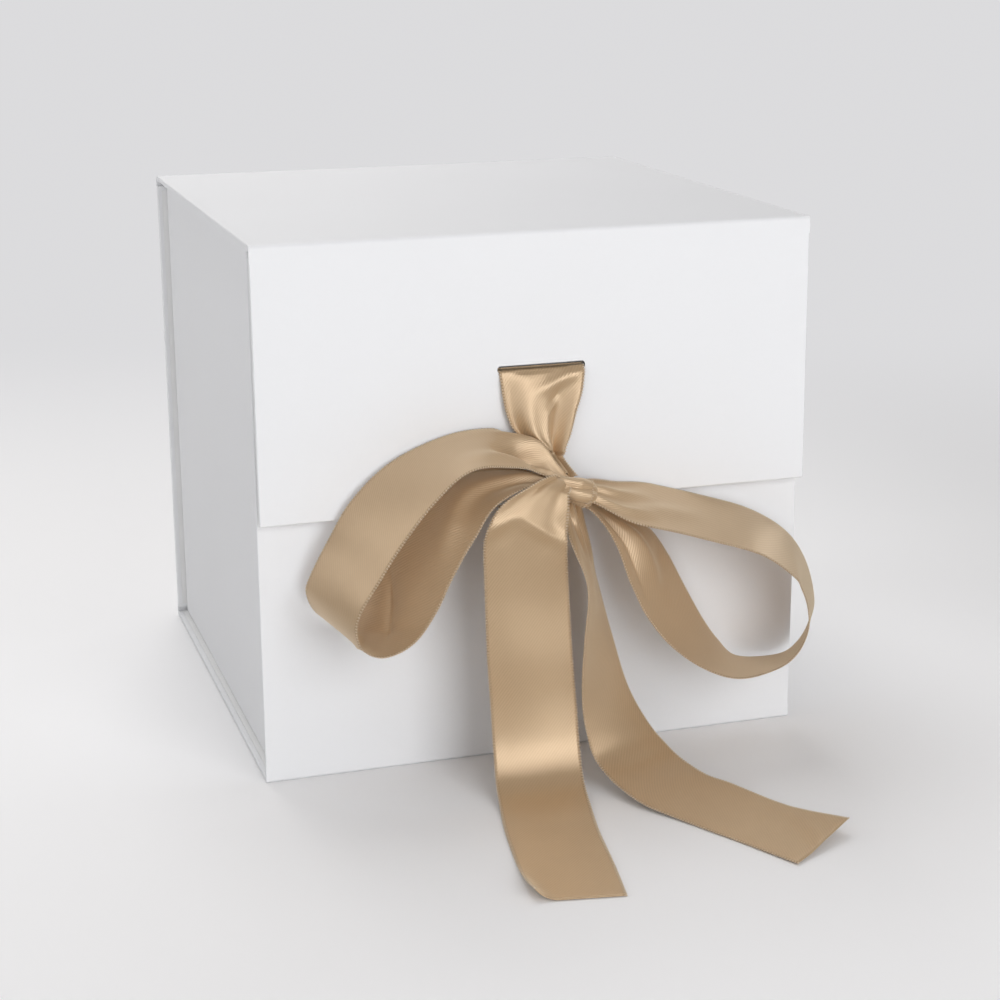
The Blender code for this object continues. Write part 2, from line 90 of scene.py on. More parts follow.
class NodeBench:
    """Adds nodes to a tree and joins their sockets."""

    def __init__(self, tree: bpy.types.NodeTree) -> None:
        """Take the tree to work on.

        Args:
            tree: The tree that the nodes are added to.
        """
        self.tree = tree

    def add(self, kind: str, inputs: dict | None = None, **settings: object) -> bpy.types.Node:
        """Add one node.

        Args:
            kind: The node's type name.
            inputs: What fills its sockets, as in feed.
            **settings: The node's own properties.

        Returns:
            The new node.
        """
        node = self.tree.nodes.new(kind)
        for name, value in settings.items():
            setattr(node, name, value)
        self.feed(node, inputs or {})
        return node

    def feed(self, node: bpy.types.Node, inputs: dict) -> None:
        """Fill a node's sockets.

        Args:
            node: The node.
            inputs: Socket name or number to a plain value, or to the output socket that feeds it.
        """
        for name, value in inputs.items():
            socket = node.inputs[name]
            if isinstance(value, bpy.types.NodeSocket):
                self.tree.links.new(value, socket)
            else:
                socket.default_value = value

    def math(self, operation: str, *terms: object) -> bpy.types.NodeSocket:
        """Add a math node and return its result."""
        return self.add("ShaderNodeMath", dict(enumerate(terms)), operation=operation).outputs[0]

    def mix(self, share: object, first: object, second: object) -> bpy.types.NodeSocket:
        """Add a colour mix and return its result."""
        node = self.add("ShaderNodeMix", {0: share, 6: first, 7: second}, data_type="RGBA")
        return node.outputs[2]


def new_group(name: str, inputs: dict, outputs: tuple) -> tuple:
    """Start a shader group with named sockets.

    Args:
        name: The group's name.
        inputs: Input name to its default, a number, or None for a vector.
        outputs: Names of the number outputs.

    Returns:
        The tree, its bench, the input node and the output node.
    """
    tree = bpy.data.node_groups.new(name, "ShaderNodeTree")
    for label, value in inputs.items():
        kind = "NodeSocketVector" if value is None else "NodeSocketFloat"
        socket = tree.interface.new_socket(label, in_out="INPUT", socket_type=kind)
        if value is not None:
            socket.default_value = value
    for label in outputs:
        tree.interface.new_socket(label, in_out="OUTPUT", socket_type="NodeSocketFloat")
    bench = NodeBench(tree)
    return tree, bench, bench.add("NodeGroupInput"), bench.add("NodeGroupOutput")


@cache
def fibre_group() -> bpy.types.NodeTree:
    """Make the fibre effect that papers and board share: a fine tooth and a slow waviness."""
    tree, bench, given, result = new_group(
        "paper_fibre", {"Place": None, "Fibre size": 1.2 * MM, "Wave size": 70 * MM, "Wave": 0.5},
        ("Shade", "Height"))
    fine = bench.add("ShaderNodeTexNoise", {
        "Vector": given.outputs["Place"], "Detail": 3.0, "Roughness": 0.6,
        "Scale": bench.math("DIVIDE", 1.0, given.outputs["Fibre size"])}).outputs[0]
    slow = bench.add("ShaderNodeTexNoise", {
        "Vector": given.outputs["Place"], "Detail": 1.0,
        "Scale": bench.math("DIVIDE", 1.0, given.outputs["Wave size"])}).outputs[0]
    shade = bench.math("ADD", bench.math("MULTIPLY", fine, 0.5), bench.math("MULTIPLY", slow, 0.5))
    height = bench.math("ADD", fine, bench.math("MULTIPLY", slow, given.outputs["Wave"]))
    bench.feed(result, {"Shade": shade, "Height": height})
    return tree


def new_material(name: str) -> tuple:
    """Start a material and return it with its bench and its shader."""
    made = bpy.data.materials.new(name)
    made.use_nodes = True
    return made, NodeBench(made.node_tree), made.node_tree.nodes["Principled BSDF"]


@dataclass(frozen=True)
class Paper:
    """A paper or board finish: its colour, the colour of its spots and the height of its tooth."""

    name: str
    colour: tuple
    spots: tuple
    roughness: float
    fibre: float
    tooth: float
    wave: float = 0.5
    roughness_swing: float = 0.05
    bump: float = 0.5
    specular: float = 0.4

    @cache
    def material(self) -> bpy.types.Material:
        """Build the finish's material once."""
        made, bench, shader = new_material(self.name)
        place = bench.add("ShaderNodeTexCoord").outputs["Object"]
        fibre = bench.add("ShaderNodeGroup", {
            "Place": place, "Fibre size": self.fibre, "Wave": self.wave}, node_tree=fibre_group()).outputs
        gloss = bench.add("ShaderNodeMapRange", {
            "Value": fibre["Shade"], "To Min": self.roughness - self.roughness_swing,
            "To Max": self.roughness + self.roughness_swing})
        bump = bench.add("ShaderNodeBump", {
            "Height": fibre["Height"], "Strength": self.bump, "Distance": self.tooth})
        bench.feed(shader, {
            "Base Color": bench.mix(fibre["Shade"], (*self.spots, 1.0), (*self.colour, 1.0)),
            "Roughness": gloss.outputs[0], "Normal": bump.outputs[0], "Specular IOR Level": self.specular})
        return made


@dataclass(frozen=True)
class PlatedSteel:
    """Bright nickel plate with faint turning marks."""

    name: str = "plated_steel_finish"
    colour: tuple = (0.72, 0.72, 0.73)
    marked: tuple = (0.62, 0.62, 0.64)
    smoothest: float = 0.16
    roughest: float = 0.36
    mark_scale: float = 1800.0

    @cache
    def material(self) -> bpy.types.Material:
        """Build the finish's material once."""
        made, bench, shader = new_material(self.name)
        place = bench.add("ShaderNodeTexCoord").outputs["Object"]
        marks = bench.add("ShaderNodeTexNoise", {
            "Vector": place, "Scale": self.mark_scale, "Detail": 2.0}).outputs[0]
        gloss = bench.add("ShaderNodeMapRange", {
            "Value": marks, "To Min": self.smoothest, "To Max": self.roughest})
        bench.feed(shader, {
            "Base Color": bench.mix(marks, (*self.colour, 1.0), (*self.marked, 1.0)),
            "Roughness": gloss.outputs[0], "Metallic": 1.0})
        return made


@dataclass(frozen=True)
class Weave:
    """The satin's slanting threads and the ribs of its edges, on the ribbon's own flat map.

    edge_start is how far in from the rim the ribs are full, as a share of the edge's width.
    """

    pitch: float = 1.0 * MM
    slope: float = math.radians(38)
    edge_width: float = 1.1 * MM
    edge_start: float = 0.6
    cloud_scale: float = 70.0

    @cache
    def group(self) -> bpy.types.NodeTree:
        """Make the weave's node group once.

        Returns:
            The group, which puts out the threads, the edges, the height of both and slow patches.
        """
        tree, bench, given, result = new_group(
            "satin_weave", {"Map": None, "Pitch": self.pitch, "Slope": self.slope},
            ("Thread", "Edge", "Height", "Cloud"))
        parts = bench.add("ShaderNodeSeparateXYZ", {0: given.outputs["Map"]})
        across, along = parts.outputs[0], parts.outputs[1]
        slanted = bench.math(
            "ADD",
            bench.math("MULTIPLY", across, bench.math("COSINE", given.outputs["Slope"])),
            bench.math("MULTIPLY", along, bench.math("SINE", given.outputs["Slope"])))
        turns = bench.math("DIVIDE", slanted, given.outputs["Pitch"])
        line = bench.math("SINE", bench.math("MULTIPLY", turns, 2 * math.pi))
        thread = bench.math("MULTIPLY_ADD", line, 0.5, 0.5)
        inward = bench.math("ABSOLUTE", bench.math("SUBTRACT", across, RIBBON_WIDTH / 2))
        edge = bench.add("ShaderNodeMapRange", {
            "Value": inward, "From Min": RIBBON_WIDTH / 2 - self.edge_width,
            "From Max": RIBBON_WIDTH / 2 - self.edge_start * self.edge_width}).outputs[0]
        ribs = bench.math("SINE", bench.math("MULTIPLY", along, 2 * math.pi / RIB_PITCH))
        plain = bench.math("MULTIPLY", thread, bench.math("SUBTRACT", 1.0, edge))
        ribbed = bench.math("MULTIPLY", bench.math("ADD", ribs, 1.0), edge)
        cloud = bench.add("ShaderNodeTexNoise", {
            "Vector": given.outputs["Map"], "Scale": self.cloud_scale, "Detail": 3.0}).outputs[0]
        bench.feed(result, {
            "Thread": thread, "Edge": edge, "Height": bench.math("ADD", plain, ribbed), "Cloud": cloud})
        return tree


@dataclass(frozen=True)
class Satin:
    """Champagne satin ribbon: slanting weave lines, ribbed edges and a soft lustre along the threads.

    valley and rim are painted shade: how far the lines between threads and the ribbed edges go from
    colour to shadow. cloud is how far slow random patches go the same way. glint is the index of
    refraction, and the haze is what the cloth shows where light grazes it.
    """

    name: str = "champagne_satin_finish"
    colour: tuple = (0.660, 0.460, 0.268)
    shadow: tuple = (0.520, 0.345, 0.190)
    weave: Weave = Weave()
    relief: float = 0.09 * MM
    bump: float = 0.6
    valley: float = 0.45
    cloud: float = 0.35
    rim: float = 0.8
    roughness: float = 0.38
    rim_roughness: float = 0.2
    lustre: float = 0.70
    glint: float = 1.80
    metal: float = 0.35
    specular: float = 1.0
    specular_tint: tuple = (1.0, 0.96, 0.86)
    haze: float = 0.8
    haze_roughness: float = 0.40
    haze_tint: tuple = (1.0, 0.87, 0.66)

    @cache
    def material(self) -> bpy.types.Material:
        """Build the finish's material once."""
        made, bench, shader = new_material(self.name)
        flat_map = bench.add("ShaderNodeUVMap", uv_map="cloth").outputs[0]
        weave = bench.add("ShaderNodeGroup", {"Map": flat_map}, node_tree=self.weave.group()).outputs
        # Painted shade: the lines between threads (valley) and the ribbed edge (rim) go towards shadow;
        # cloud adds slow random patches.
        valley = bench.math("MULTIPLY", bench.math("SUBTRACT", 1.0, weave["Thread"]), self.valley)
        cloudy = bench.math("MULTIPLY", weave["Cloud"], self.cloud)
        rim = bench.math("MULTIPLY", weave["Edge"], self.rim)
        deep = bench.math("ADD", bench.math("ADD", valley, cloudy), rim)
        bump = bench.add("ShaderNodeBump", {
            "Height": weave["Height"], "Strength": self.bump, "Distance": self.relief})
        grain = bench.add("ShaderNodeTangent", direction_type="UV_MAP", uv_map="cloth")
        bench.feed(shader, {
            "Base Color": bench.mix(deep, (*self.colour, 1.0), (*self.shadow, 1.0)),
            "Roughness": bench.math("MULTIPLY_ADD", weave["Edge"], self.rim_roughness, self.roughness),
            "Normal": bump.outputs[0], "Tangent": grain.outputs[0],
            "IOR": self.glint, "Metallic": self.metal, "Anisotropic": self.lustre,
            "Specular IOR Level": self.specular, "Specular Tint": (*self.specular_tint, 1.0),
            "Sheen Weight": self.haze, "Sheen Roughness": self.haze_roughness,
            "Sheen Tint": (*self.haze_tint, 1.0)})
        return made


OUTER_PAPER = Paper(
    "outer_paper_finish", colour=(0.880, 0.885, 0.900), spots=(0.855, 0.858, 0.870), roughness=0.52,
    fibre=1.3 * MM, tooth=0.030 * MM, wave=3.0)
LINER_PAPER = Paper(
    "liner_paper_finish", colour=(0.86, 0.86, 0.855), spots=(0.82, 0.82, 0.815), roughness=0.68,
    fibre=0.9 * MM, tooth=0.045 * MM)
GREYBOARD = Paper(
    "greyboard_finish", colour=(0.44, 0.41, 0.37), spots=(0.24, 0.21, 0.18), roughness=0.88,
    fibre=0.6 * MM, tooth=0.12 * MM)
STEEL = PlatedSteel()
SATIN = Satin()
SATIN_EDGE = Satin(
    "champagne_edge_finish", colour=(0.80, 0.65, 0.49), shadow=(0.72, 0.56, 0.40), roughness=0.42,
    lustre=0.2, glint=1.7, metal=0.0)


def mesh_from_arrays(name: str, points: np.ndarray, faces: list, maps: dict | None = None) -> bpy.types.Mesh:
    """Make a mesh from points and faces.

    Args:
        name: The mesh's name.
        points: One row a point, in metres.
        faces: Tuples of point numbers.
        maps: Name of a UV map to one (u, v) row a point.

    Returns:
        The mesh.
    """
    mesh = bpy.data.meshes.new(name)
    mesh.from_pydata([tuple(p) for p in points], [], faces)
    for label, rows in (maps or {}).items():
        layer = mesh.uv_layers.new(name=label)
        for loop in mesh.loops:
            layer.data[loop.index].uv = rows[loop.vertex_index]
    mesh.update()
    return mesh


def face_outward(mesh: bpy.types.Mesh) -> None:
    """Turn the faces of a closed mesh outward."""
    shape = bmesh.new()
    shape.from_mesh(mesh)
    bmesh.ops.recalc_face_normals(shape, faces=shape.faces)
    shape.to_mesh(mesh)
    shape.free()


def add_piece(name: str, mesh: bpy.types.Mesh) -> bpy.types.Object:
    """Link a mesh as an object at the origin."""
    thing = bpy.data.objects.new(name, mesh)
    bpy.context.scene.collection.objects.link(thing)
    return thing


def settle(thing: bpy.types.Object) -> bpy.types.Object:
    """Turn an object with its modifiers into a plain mesh of the same name, and return the new one."""
    name = thing.name
    thing.name = name + "_draft"
    bpy.context.view_layer.update()
    made = bpy.data.meshes.new_from_object(thing.evaluated_get(bpy.context.evaluated_depsgraph_get()))
    made.name = name
    old = thing.data
    bpy.data.objects.remove(thing, do_unlink=True)
    bpy.data.meshes.remove(old)
    return add_piece(name, made)


def finish_piece(thing: bpy.types.Object, look: object, nodes: tuple = ()) -> None:
    """Dress a made piece and say which frame nodes it stands for."""
    thing.data.materials.clear()
    thing.data.materials.append(look.material())
    if nodes:
        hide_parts(*nodes)
    log.info("made %s: %d faces", thing.name, len(thing.data.polygons))


@dataclass(frozen=True)
class FlapPlane:
    """Where the closed flap hangs, read from the frame.

    Corners within slot_reach of its middle line and clear of its ends by slot_margin are the slot's,
    and places closer than same_place are one.
    """

    hinge: Vector
    splay: float
    length: float
    slot_reach: float = 25 * MM
    slot_margin: float = 20 * MM
    same_place: float = 0.1 * MM

    @classmethod
    def read(cls) -> "FlapPlane":
        """Work the plane out from the flap's hinge and its board.

        Returns:
            The plane of the flap's outer face.
        """
        joint = next(j for j in frame["joints"] if j["name"] == "flap_hinge")
        hinge = Vector(joint["pos_m"])
        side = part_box("flap_board")[0].x
        vertices = frame["nodes"]["flap_board"].data.vertices
        corners = [v.co for v in vertices if abs(v.co.x - side) < cls.same_place]
        middle = sum(c.z for c in corners) / len(corners)
        low = [c for c in corners if c.z < middle]
        high = [c for c in corners if c.z >= middle]
        down = sum(low, Vector()) / len(low) - sum(high, Vector()) / len(high)
        splay = math.atan2(-down.y, -down.z)
        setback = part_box("base_board")[0].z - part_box("base_wrap")[0].z
        foot = sum(low, Vector()) / len(low) - hinge
        return cls(hinge, splay, foot.dot(down.normalized()) + setback)

    @property
    def matrix(self) -> Matrix:
        """The flap's own axes, with their origin on the hinge."""
        return Matrix.Translation(self.hinge) @ Matrix.Rotation(-self.splay, 4, "X")

    @property
    def edge(self) -> Vector:
        """A point on the outer face's lower edge."""
        return self.matrix @ Vector((0.0, 0.0, -self.length))

    def corners(self, node: str) -> list:
        """Return a frame solid's corners on the flap's own axes."""
        inverse = self.matrix.inverted()
        return [inverse @ v.co for v in frame["nodes"][node].data.vertices]

    def slot_ring(self, node: str) -> list:
        """Return the corners round the ribbon's slot in a frame solid, on the flap's own axes."""
        return [c for c in self.corners(node)
                if abs(c.x) < self.slot_reach and self.slot_margin < -c.z < self.length - self.slot_margin]


FLAP = FlapPlane.read()


def block(low: Vector, high: Vector, rounding: float = 0.0, segments: int = 4) -> bpy.types.Mesh:
    """Make a block, with rounded edges if a radius is given.

    Args:
        low: Lowest corner.
        high: Highest corner.
        rounding: Radius of every edge.
        segments: Steps round an edge.

    Returns:
        The mesh.
    """
    shape = bmesh.new()
    bmesh.ops.create_cube(shape, size=1.0)
    bmesh.ops.scale(shape, vec=high - low, verts=shape.verts)
    bmesh.ops.translate(shape, vec=(high + low) / 2, verts=shape.verts)
    if rounding:
        bmesh.ops.bevel(shape, geom=list(shape.edges), offset=rounding, segments=segments, profile=0.5,
                        affect="EDGES", clamp_overlap=True)
    bmesh.ops.recalc_face_normals(shape, faces=shape.faces)
    mesh = bpy.data.meshes.new("block")
    shape.to_mesh(mesh)
    shape.free()
    return mesh


def cut_away(thing: bpy.types.Object, cutters: list) -> bpy.types.Object:
    """Take meshes out of an object and return the finished object."""
    tools = []
    for mesh in cutters:
        tool = add_piece("cutter", mesh)
        tools.append(tool)
        modifier = thing.modifiers.new("cut", "BOOLEAN")
        modifier.operation = "DIFFERENCE"
        modifier.object = tool
    made = settle(thing)
    for tool in tools:
        bpy.data.objects.remove(tool, do_unlink=True)
    return made


@dataclass(frozen=True)
class PanelWrap:
    """The paper round one board: its outer skin, its edges and the strips turned in behind.

    outward is the axis number and the sign of the panel's outer face, on the panel's own axes.
    overrun is how far a cutter goes past the panel, and slot_rounding is the radius of the slot's
    ends as a share of its height.
    """

    name: str
    node: str
    body: Body
    outward: tuple
    on_flap: bool = False
    slot_node: str = ""
    paper: float = 0.3 * MM
    turn_in: float = 15 * MM
    rounding: float = 0.6 * MM
    overrun: float = 1.0 * MM
    slot_rounding: float = 0.48
    sharp_angle: float = math.radians(30)

    def build(self) -> bpy.types.Object:
        """Build the wrap in the frame node's own space.

        Returns:
            The finished piece.
        """
        place = FLAP.matrix if self.on_flap else Matrix.Identity(4)
        inverse = place.inverted()
        corners = [inverse @ v.co for v in frame["nodes"][self.node].data.vertices]
        low = Vector([min(c[i] for c in corners) for i in range(3)])
        high = Vector([max(c[i] for c in corners) for i in range(3)])
        wrap = add_piece(self.name, block(low, high, self.rounding))
        cutters = [block(*self.room(low, high, self.paper, self.paper)),
                   block(*self.room(low, high, self.turn_in, -self.overrun))]
        if self.slot_node:
            cutters.append(self.ribbon_slot(low.y, high.y))
        made = cut_away(wrap, cutters)
        made.data.transform(place)
        made.data.shade_smooth()
        made.data.set_sharp_from_angle(angle=self.sharp_angle)
        even = made.modifiers.new("even", "WEIGHTED_NORMAL")
        even.keep_sharp = True
        made = settle(made)
        finish_piece(made, OUTER_PAPER, (self.node,))
        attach(made, self.body.value)
        return made

    def room(self, low: Vector, high: Vector, inset: float, behind: float) -> tuple:
        """Return the corners of a room behind the outer skin.

        Args:
            low: The panel's lowest corner.
            high: The panel's highest corner.
            inset: How far the room stays in from the panel's edges.
            behind: Thickness left behind the room, below zero to open it.

        Returns:
            The room's lowest and highest corner.
        """
        axis, sign = self.outward
        near = Vector([c + inset for c in low])
        far = Vector([c - inset for c in high])
        if sign > 0:
            near[axis], far[axis] = low[axis] + behind, high[axis] - self.paper
        else:
            near[axis], far[axis] = low[axis] + self.paper, high[axis] - behind
        return near, far

    def ribbon_slot(self, front: float, rear: float) -> bpy.types.Mesh:
        """Make the cutter of the ribbon's slot, at the slot of the frame's board.

        Args:
            front: Place of the wrap's front face, on the flap's own axes.
            rear: Place of its rear face.

        Returns:
            The cutter.
        """
        ring = FLAP.slot_ring(self.slot_node)
        left, right = min(c.x for c in ring), max(c.x for c in ring)
        foot, head = min(c.z for c in ring), max(c.z for c in ring)
        mesh = block(Vector((left, front - self.overrun, foot)), Vector((right, rear + self.overrun, head)))
        shape = bmesh.new()
        shape.from_mesh(mesh)
        ends = [e for e in shape.edges if abs(e.verts[0].co.y - e.verts[1].co.y) > self.overrun]
        bmesh.ops.bevel(shape, geom=ends, offset=(head - foot) * self.slot_rounding, segments=8,
                        profile=0.5, affect="EDGES")
        shape.to_mesh(mesh)
        shape.free()
        return mesh


@dataclass(frozen=True)
class CreaseStrip:
    """Paper that runs round one long corner of the box in a soft arc and laps over both panels.

    up is +1 on the lid's corners and -1 on the base's. The lap on the wall is long enough to cover
    the wall's rounded edge, so the paper reads as one sheet. Along its last stretch, sunk_lap, the
    lap sinks from proud of the wall's face to as far behind it, so that its end doesn't show.
    flap_step brings the flap's strip out to the face of the flap's paper.
    """

    name: str
    node: str
    bodies: tuple
    front: bool
    up: int
    radius: float = 1.5 * MM
    paper: float = 0.25 * MM
    flat_lap: float = 2.2 * MM
    wall_lap: float = 2.6 * MM
    sunk_lap: float = 1.2 * MM
    flap_step: float = 0.33 * MM
    proud: float = 0.03 * MM
    steps: int = 10
    sharp_angle: float = math.radians(35)

    def line(self) -> list:
        """Return the outer line's points and outward directions, as (y, z) pairs."""
        low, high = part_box(self.node)
        outward = -1.0 if self.front else 1.0
        hangs = Body.FLAP in self.bodies
        splay = FLAP.splay if hangs else 0.0
        face = FLAP.hinge.y - self.flap_step if hangs else (low.y if self.front else high.y)
        level = high.z if self.up > 0 else low.z
        rise = self.proud if self.up > 0 else 0.0
        inset = self.radius * (1 - math.sin(splay)) / math.cos(splay)
        centre = np.array([face - outward * inset, level - self.up * self.radius])
        flat = np.array([0.0, float(self.up)])
        along_wall = np.array([outward * math.sin(splay), -self.up * math.cos(splay)])
        wall = np.array([outward * math.cos(splay), self.up * math.sin(splay)])
        points = [(centre + (-outward * self.flat_lap, 0.0) + flat * (self.radius + rise), flat)]
        for step in range(self.steps + 1):
            turn = (math.pi / 2 - splay) * step / self.steps
            way = np.array([outward * math.sin(turn), self.up * math.cos(turn)])
            lift = rise + (self.proud - rise) * step / self.steps
            points.append((centre + way * (self.radius + lift), way))
        foot = np.array([face, level]) + along_wall * (high.z - low.z + self.wall_lap)
        points.append((foot - along_wall * self.sunk_lap + wall * self.proud, wall))
        points.append((foot - wall * self.proud, wall))
        return points

    def build(self) -> bpy.types.Object:
        """Build the strip across the whole box.

        Returns:
            The finished piece.
        """
        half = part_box(self.node)[1].x
        line = self.line()
        ring = [point for point, _ in line] + [point - way * self.paper for point, way in reversed(line)]
        count = len(ring)
        points = np.array([(side, *p) for side in (-half, half) for p in ring])
        faces = [(i, (i + 1) % count, count + (i + 1) % count, count + i) for i in range(count)]
        faces += [tuple(range(count)), tuple(range(2 * count - 1, count - 1, -1))]
        mesh = mesh_from_arrays(self.name, points, faces)
        face_outward(mesh)
        strip = add_piece(self.name, mesh)
        strip.data.shade_smooth()
        strip.data.set_sharp_from_angle(angle=self.sharp_angle)
        finish_piece(strip, OUTER_PAPER, (self.node,))
        if len(self.bodies) == 1:
            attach(strip, self.bodies[0].value)
        else:
            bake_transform(strip)
        return strip


@dataclass(frozen=True)
class BoxShell:
    """Everything of the box but the ribbon."""

    wraps: tuple = (
        PanelWrap("base_paper", "base_wrap", Body.CASE, (2, -1)),
        PanelWrap("back_paper", "back_wrap", Body.CASE, (1, 1)),
        PanelWrap("front_paper", "front_wrap", Body.CASE, (1, -1)),
        PanelWrap("left_side_paper", "left_side_wrap", Body.CASE, (0, -1)),
        PanelWrap("right_side_paper", "right_side_wrap", Body.CASE, (0, 1)),
        PanelWrap("lid_paper", "lid_wrap", Body.LID, (2, 1)),
        PanelWrap("flap_paper", "flap_wrap", Body.FLAP, (1, -1), on_flap=True, slot_node="flap_board"),
    )
    creases: tuple = (
        CreaseStrip("front_base_fold", "front_base_crease", (Body.CASE,), front=True, up=-1),
        CreaseStrip("rear_base_fold", "rear_base_crease", (Body.CASE,), front=False, up=-1),
        CreaseStrip("lid_fold", "lid_crease", (Body.LID, Body.CASE), front=False, up=1),
        CreaseStrip("flap_fold", "flap_crease", (Body.LID, Body.FLAP), front=True, up=1),
    )

    def build(self) -> None:
        """Build the wraps and creases and dress the frame's own solids."""
        for part in (*self.wraps, *self.creases):
            part.build()
        for name, node in frame["nodes"].items():
            look = self.look_of(name)
            if look:
                node.data.materials.clear()
                node.data.materials.append(look[0].material())
                log.info("dressed %s", name)

    @staticmethod
    def look_of(name: str) -> tuple | None:
        """Return the finish and slot of a frame solid that stays, or None for one that is replaced."""
        if name.endswith("_board"):
            return GREYBOARD, Slot.GREYBOARD
        if name.endswith("_liner"):
            return LINER_PAPER, Slot.LINER_PAPER
        if name.endswith("_tab"):
            return LINER_PAPER, Slot.OUTER_PAPER
        if name.endswith("_magnet") or name.endswith("_disc"):
            return STEEL, Slot.STEEL
        return None


@dataclass(frozen=True)
class Station:
    """One place along the bow, in millimetres.

    x runs from the slot's middle, out is how far the ribbon's rear edge stands in front of the
    flap's lower edge, rise is the height above that edge, across is the direction of the ribbon's
    width, and share is how much of that width is spread out there.
    """

    x: float
    out: float
    rise: float
    across: tuple
    share: float = 1.0


@dataclass(frozen=True)
class TailStation:
    """One place along a hanging tail, as a Station but with its level in place of its rise.

    level is the height above the floor as a share of the flap edge's height.
    """

    x: float
    out: float
    level: float
    across: tuple
    share: float = 1.0


LEFT_LOOP = (
    Station(5.5, 12.5, 12.0, (12, 31, 6), 0.25),
    Station(0, 11.0, 17.0, (15, 30, 7), 0.25),
    Station(-5.5, 8.0, 21.4, (15.5, 29.4, 10.9), 0.38),
    Station(-14.5, 4.4, 26.0, (15, 30, 9.5), 0.70),
    Station(-28.5, 2.0, 28.8, (12, 32, 7), 0.95),
    Station(-43, 1.6, 26.6, (4, 33.5, 8)),
    Station(-60, 2.6, 17, (-7, 33, 10)),
    Station(-74, 4.2, 3, (-11, 31, 11)),
    Station(-83, 3.7, -11, (-12, 32, 9)),
    Station(-90, 3.0, -23, (-12, 32, 6)),
    Station(-92, 2.3, -31, (-12, 32, 7)),
    Station(-88, 0.8, -40, (-11, 33, 6)),
    Station(-79, 0.5, -44, (-9, 34, 4)),
    Station(-69.5, 0.8, -37.8, (-14, 30.5, 9)),
    Station(-61.5, 1.2, -26, (-17, 28.5, 10.5)),
    Station(-55.5, 1.2, -14, (-18, 28.5, 9)),
    Station(-45, 1.2, 2.6, (-16, 29.5, 9.5)),
    Station(-34, 2.0, 12, (-12, 31.5, 9.5), 0.86),
    Station(-17.5, 5.8, 15.5, (-5, 33, 9.5), 0.58),
    Station(-6, 9.5, 14.0, (1, 33, 8), 0.36),
    Station(5, 12.0, 9.0, (6, 34, 4), 0.25),
)
RIGHT_LOOP = (
    Station(9, 11.0, 8.5, (-6, -30, -15), 0.28),
    Station(17, 8.5, 6.5, (-5, -31, -15), 0.42),
    Station(28, 4.4, 2, (-4, -32, -12), 0.75),
    Station(42, 1.4, -1, (-8, -32, -9)),
    Station(64, 0.8, -8, (-7, -33, -10)),
    Station(86, 0.8, -16, (-8, -33, -10)),
    Station(102, 0.8, -27, (-10, -32, -10)),
    Station(109, 0.8, -37, (-16, -31, -2)),
    Station(113, 1.4, -50, (-17, -29, 7)),
    Station(112, 1.4, -60, (-15, -30, 8)),
    Station(107, 1.4, -69, (-15, -31, 7)),
    Station(98, 1.4, -74, (-15, -31, 6)),
    Station(80, 1.4, -74, (-13, -33, 3)),
    Station(68, 1.4, -67, (-18, -30, -1)),
    Station(58, 1.4, -57, (-24, -25, -1)),
    Station(49, 1.4, -43, (-26, -23, -2)),
    Station(42, 1.4, -29, (-26, -23, -1)),
    Station(35, 2.4, -15, (-27, -23, 0), 0.80),
    Station(24, 5.4, -5, (-25, -24, 4), 0.50),
    Station(15, 9.0, 1, (-22, -22, 6), 0.32),
    Station(8, 11.5, 4.5, (-20, -20, 6), 0.24),
)
SLOT_STRAND = (
    Station(-0.4, 0.8, 45, (35, 0, 0), 0.93),
    Station(-1.3, 0.9, 37, (35, 1, -1), 0.80),
    Station(-1.1, 1.0, 29.6, (34, 2, -3), 0.64),
    Station(0.4, 1.3, 23.6, (32, 4, -8), 0.38),
    Station(2.6, 2.8, 18.4, (28, 6, -13), 0.20),
    Station(5.5, 11.5, 12.0, (26, 6, -10), 0.20),
)
LEFT_TAIL = (
    TailStation(1.5, 21.0, 1.125, (24, 0, -24), 0.24),
    TailStation(-5.3, 23.8, 1.110, (33, 4, -10), 0.48),
    TailStation(-11.2, 25.3, 1.062, (34, 3, -6), 0.78),
    TailStation(-14.6, 26.0, 0.990, (34, 2, -7), 0.93),
    TailStation(-15.8, 26.3, 0.905, (34, 1, -6)),
    TailStation(-15, 26.3, 0.712, (35, 0, -4)),
    TailStation(-14.5, 27.0, 0.493, (35, -2, -3)),
    TailStation(-13.5, 28.0, 0.310, (35, -3, -2)),
    TailStation(-13.5, 31.0, 0.160, (35, -4, -2)),
    TailStation(-14.5, 37.5, 0.055, (34, -5, -1)),
    TailStation(-16.5, 49.5, 0.006, (34, -6, 0)),
    TailStation(-21.0, 70.0, 0.0, (34, -8, 0)),
    TailStation(-26.0, 101.5, 0.0, (34, -6, 0)),
    TailStation(-30.5, 126.0, 0.0, (34, -6, 0)),
)
RIGHT_TAIL = (
    TailStation(7, 12.5, 1.036, (24, 14, -8), 0.28),
    TailStation(9.5, 6.0, 0.940, (22, 25, -8), 0.56),
    TailStation(12.5, 4.5, 0.800, (16, 30, -9)),
    TailStation(15.7, 4.0, 0.680, (16, 30, -9)),
    TailStation(17, 7.5, 0.517, (21, 26, -9)),
    TailStation(19, 13.5, 0.325, (27, 20, -9)),
    TailStation(22.5, 23.5, 0.185, (32, 12, -7)),
    TailStation(27.5, 35.0, 0.080, (34, 6, -1)),
    TailStation(34.5, 51.0, 0.034, (33, 11, 2)),
    TailStation(43.5, 61.0, 0.018, (30.5, 17, 3)),
    TailStation(54.0, 78.5, 0.009, (30, 18, 2)),
    TailStation(60.5, 90.5, 0.009, (30, 18, 2)),
    TailStation(70.5, 110.5, 0.017, (30, 18, 3)),
)


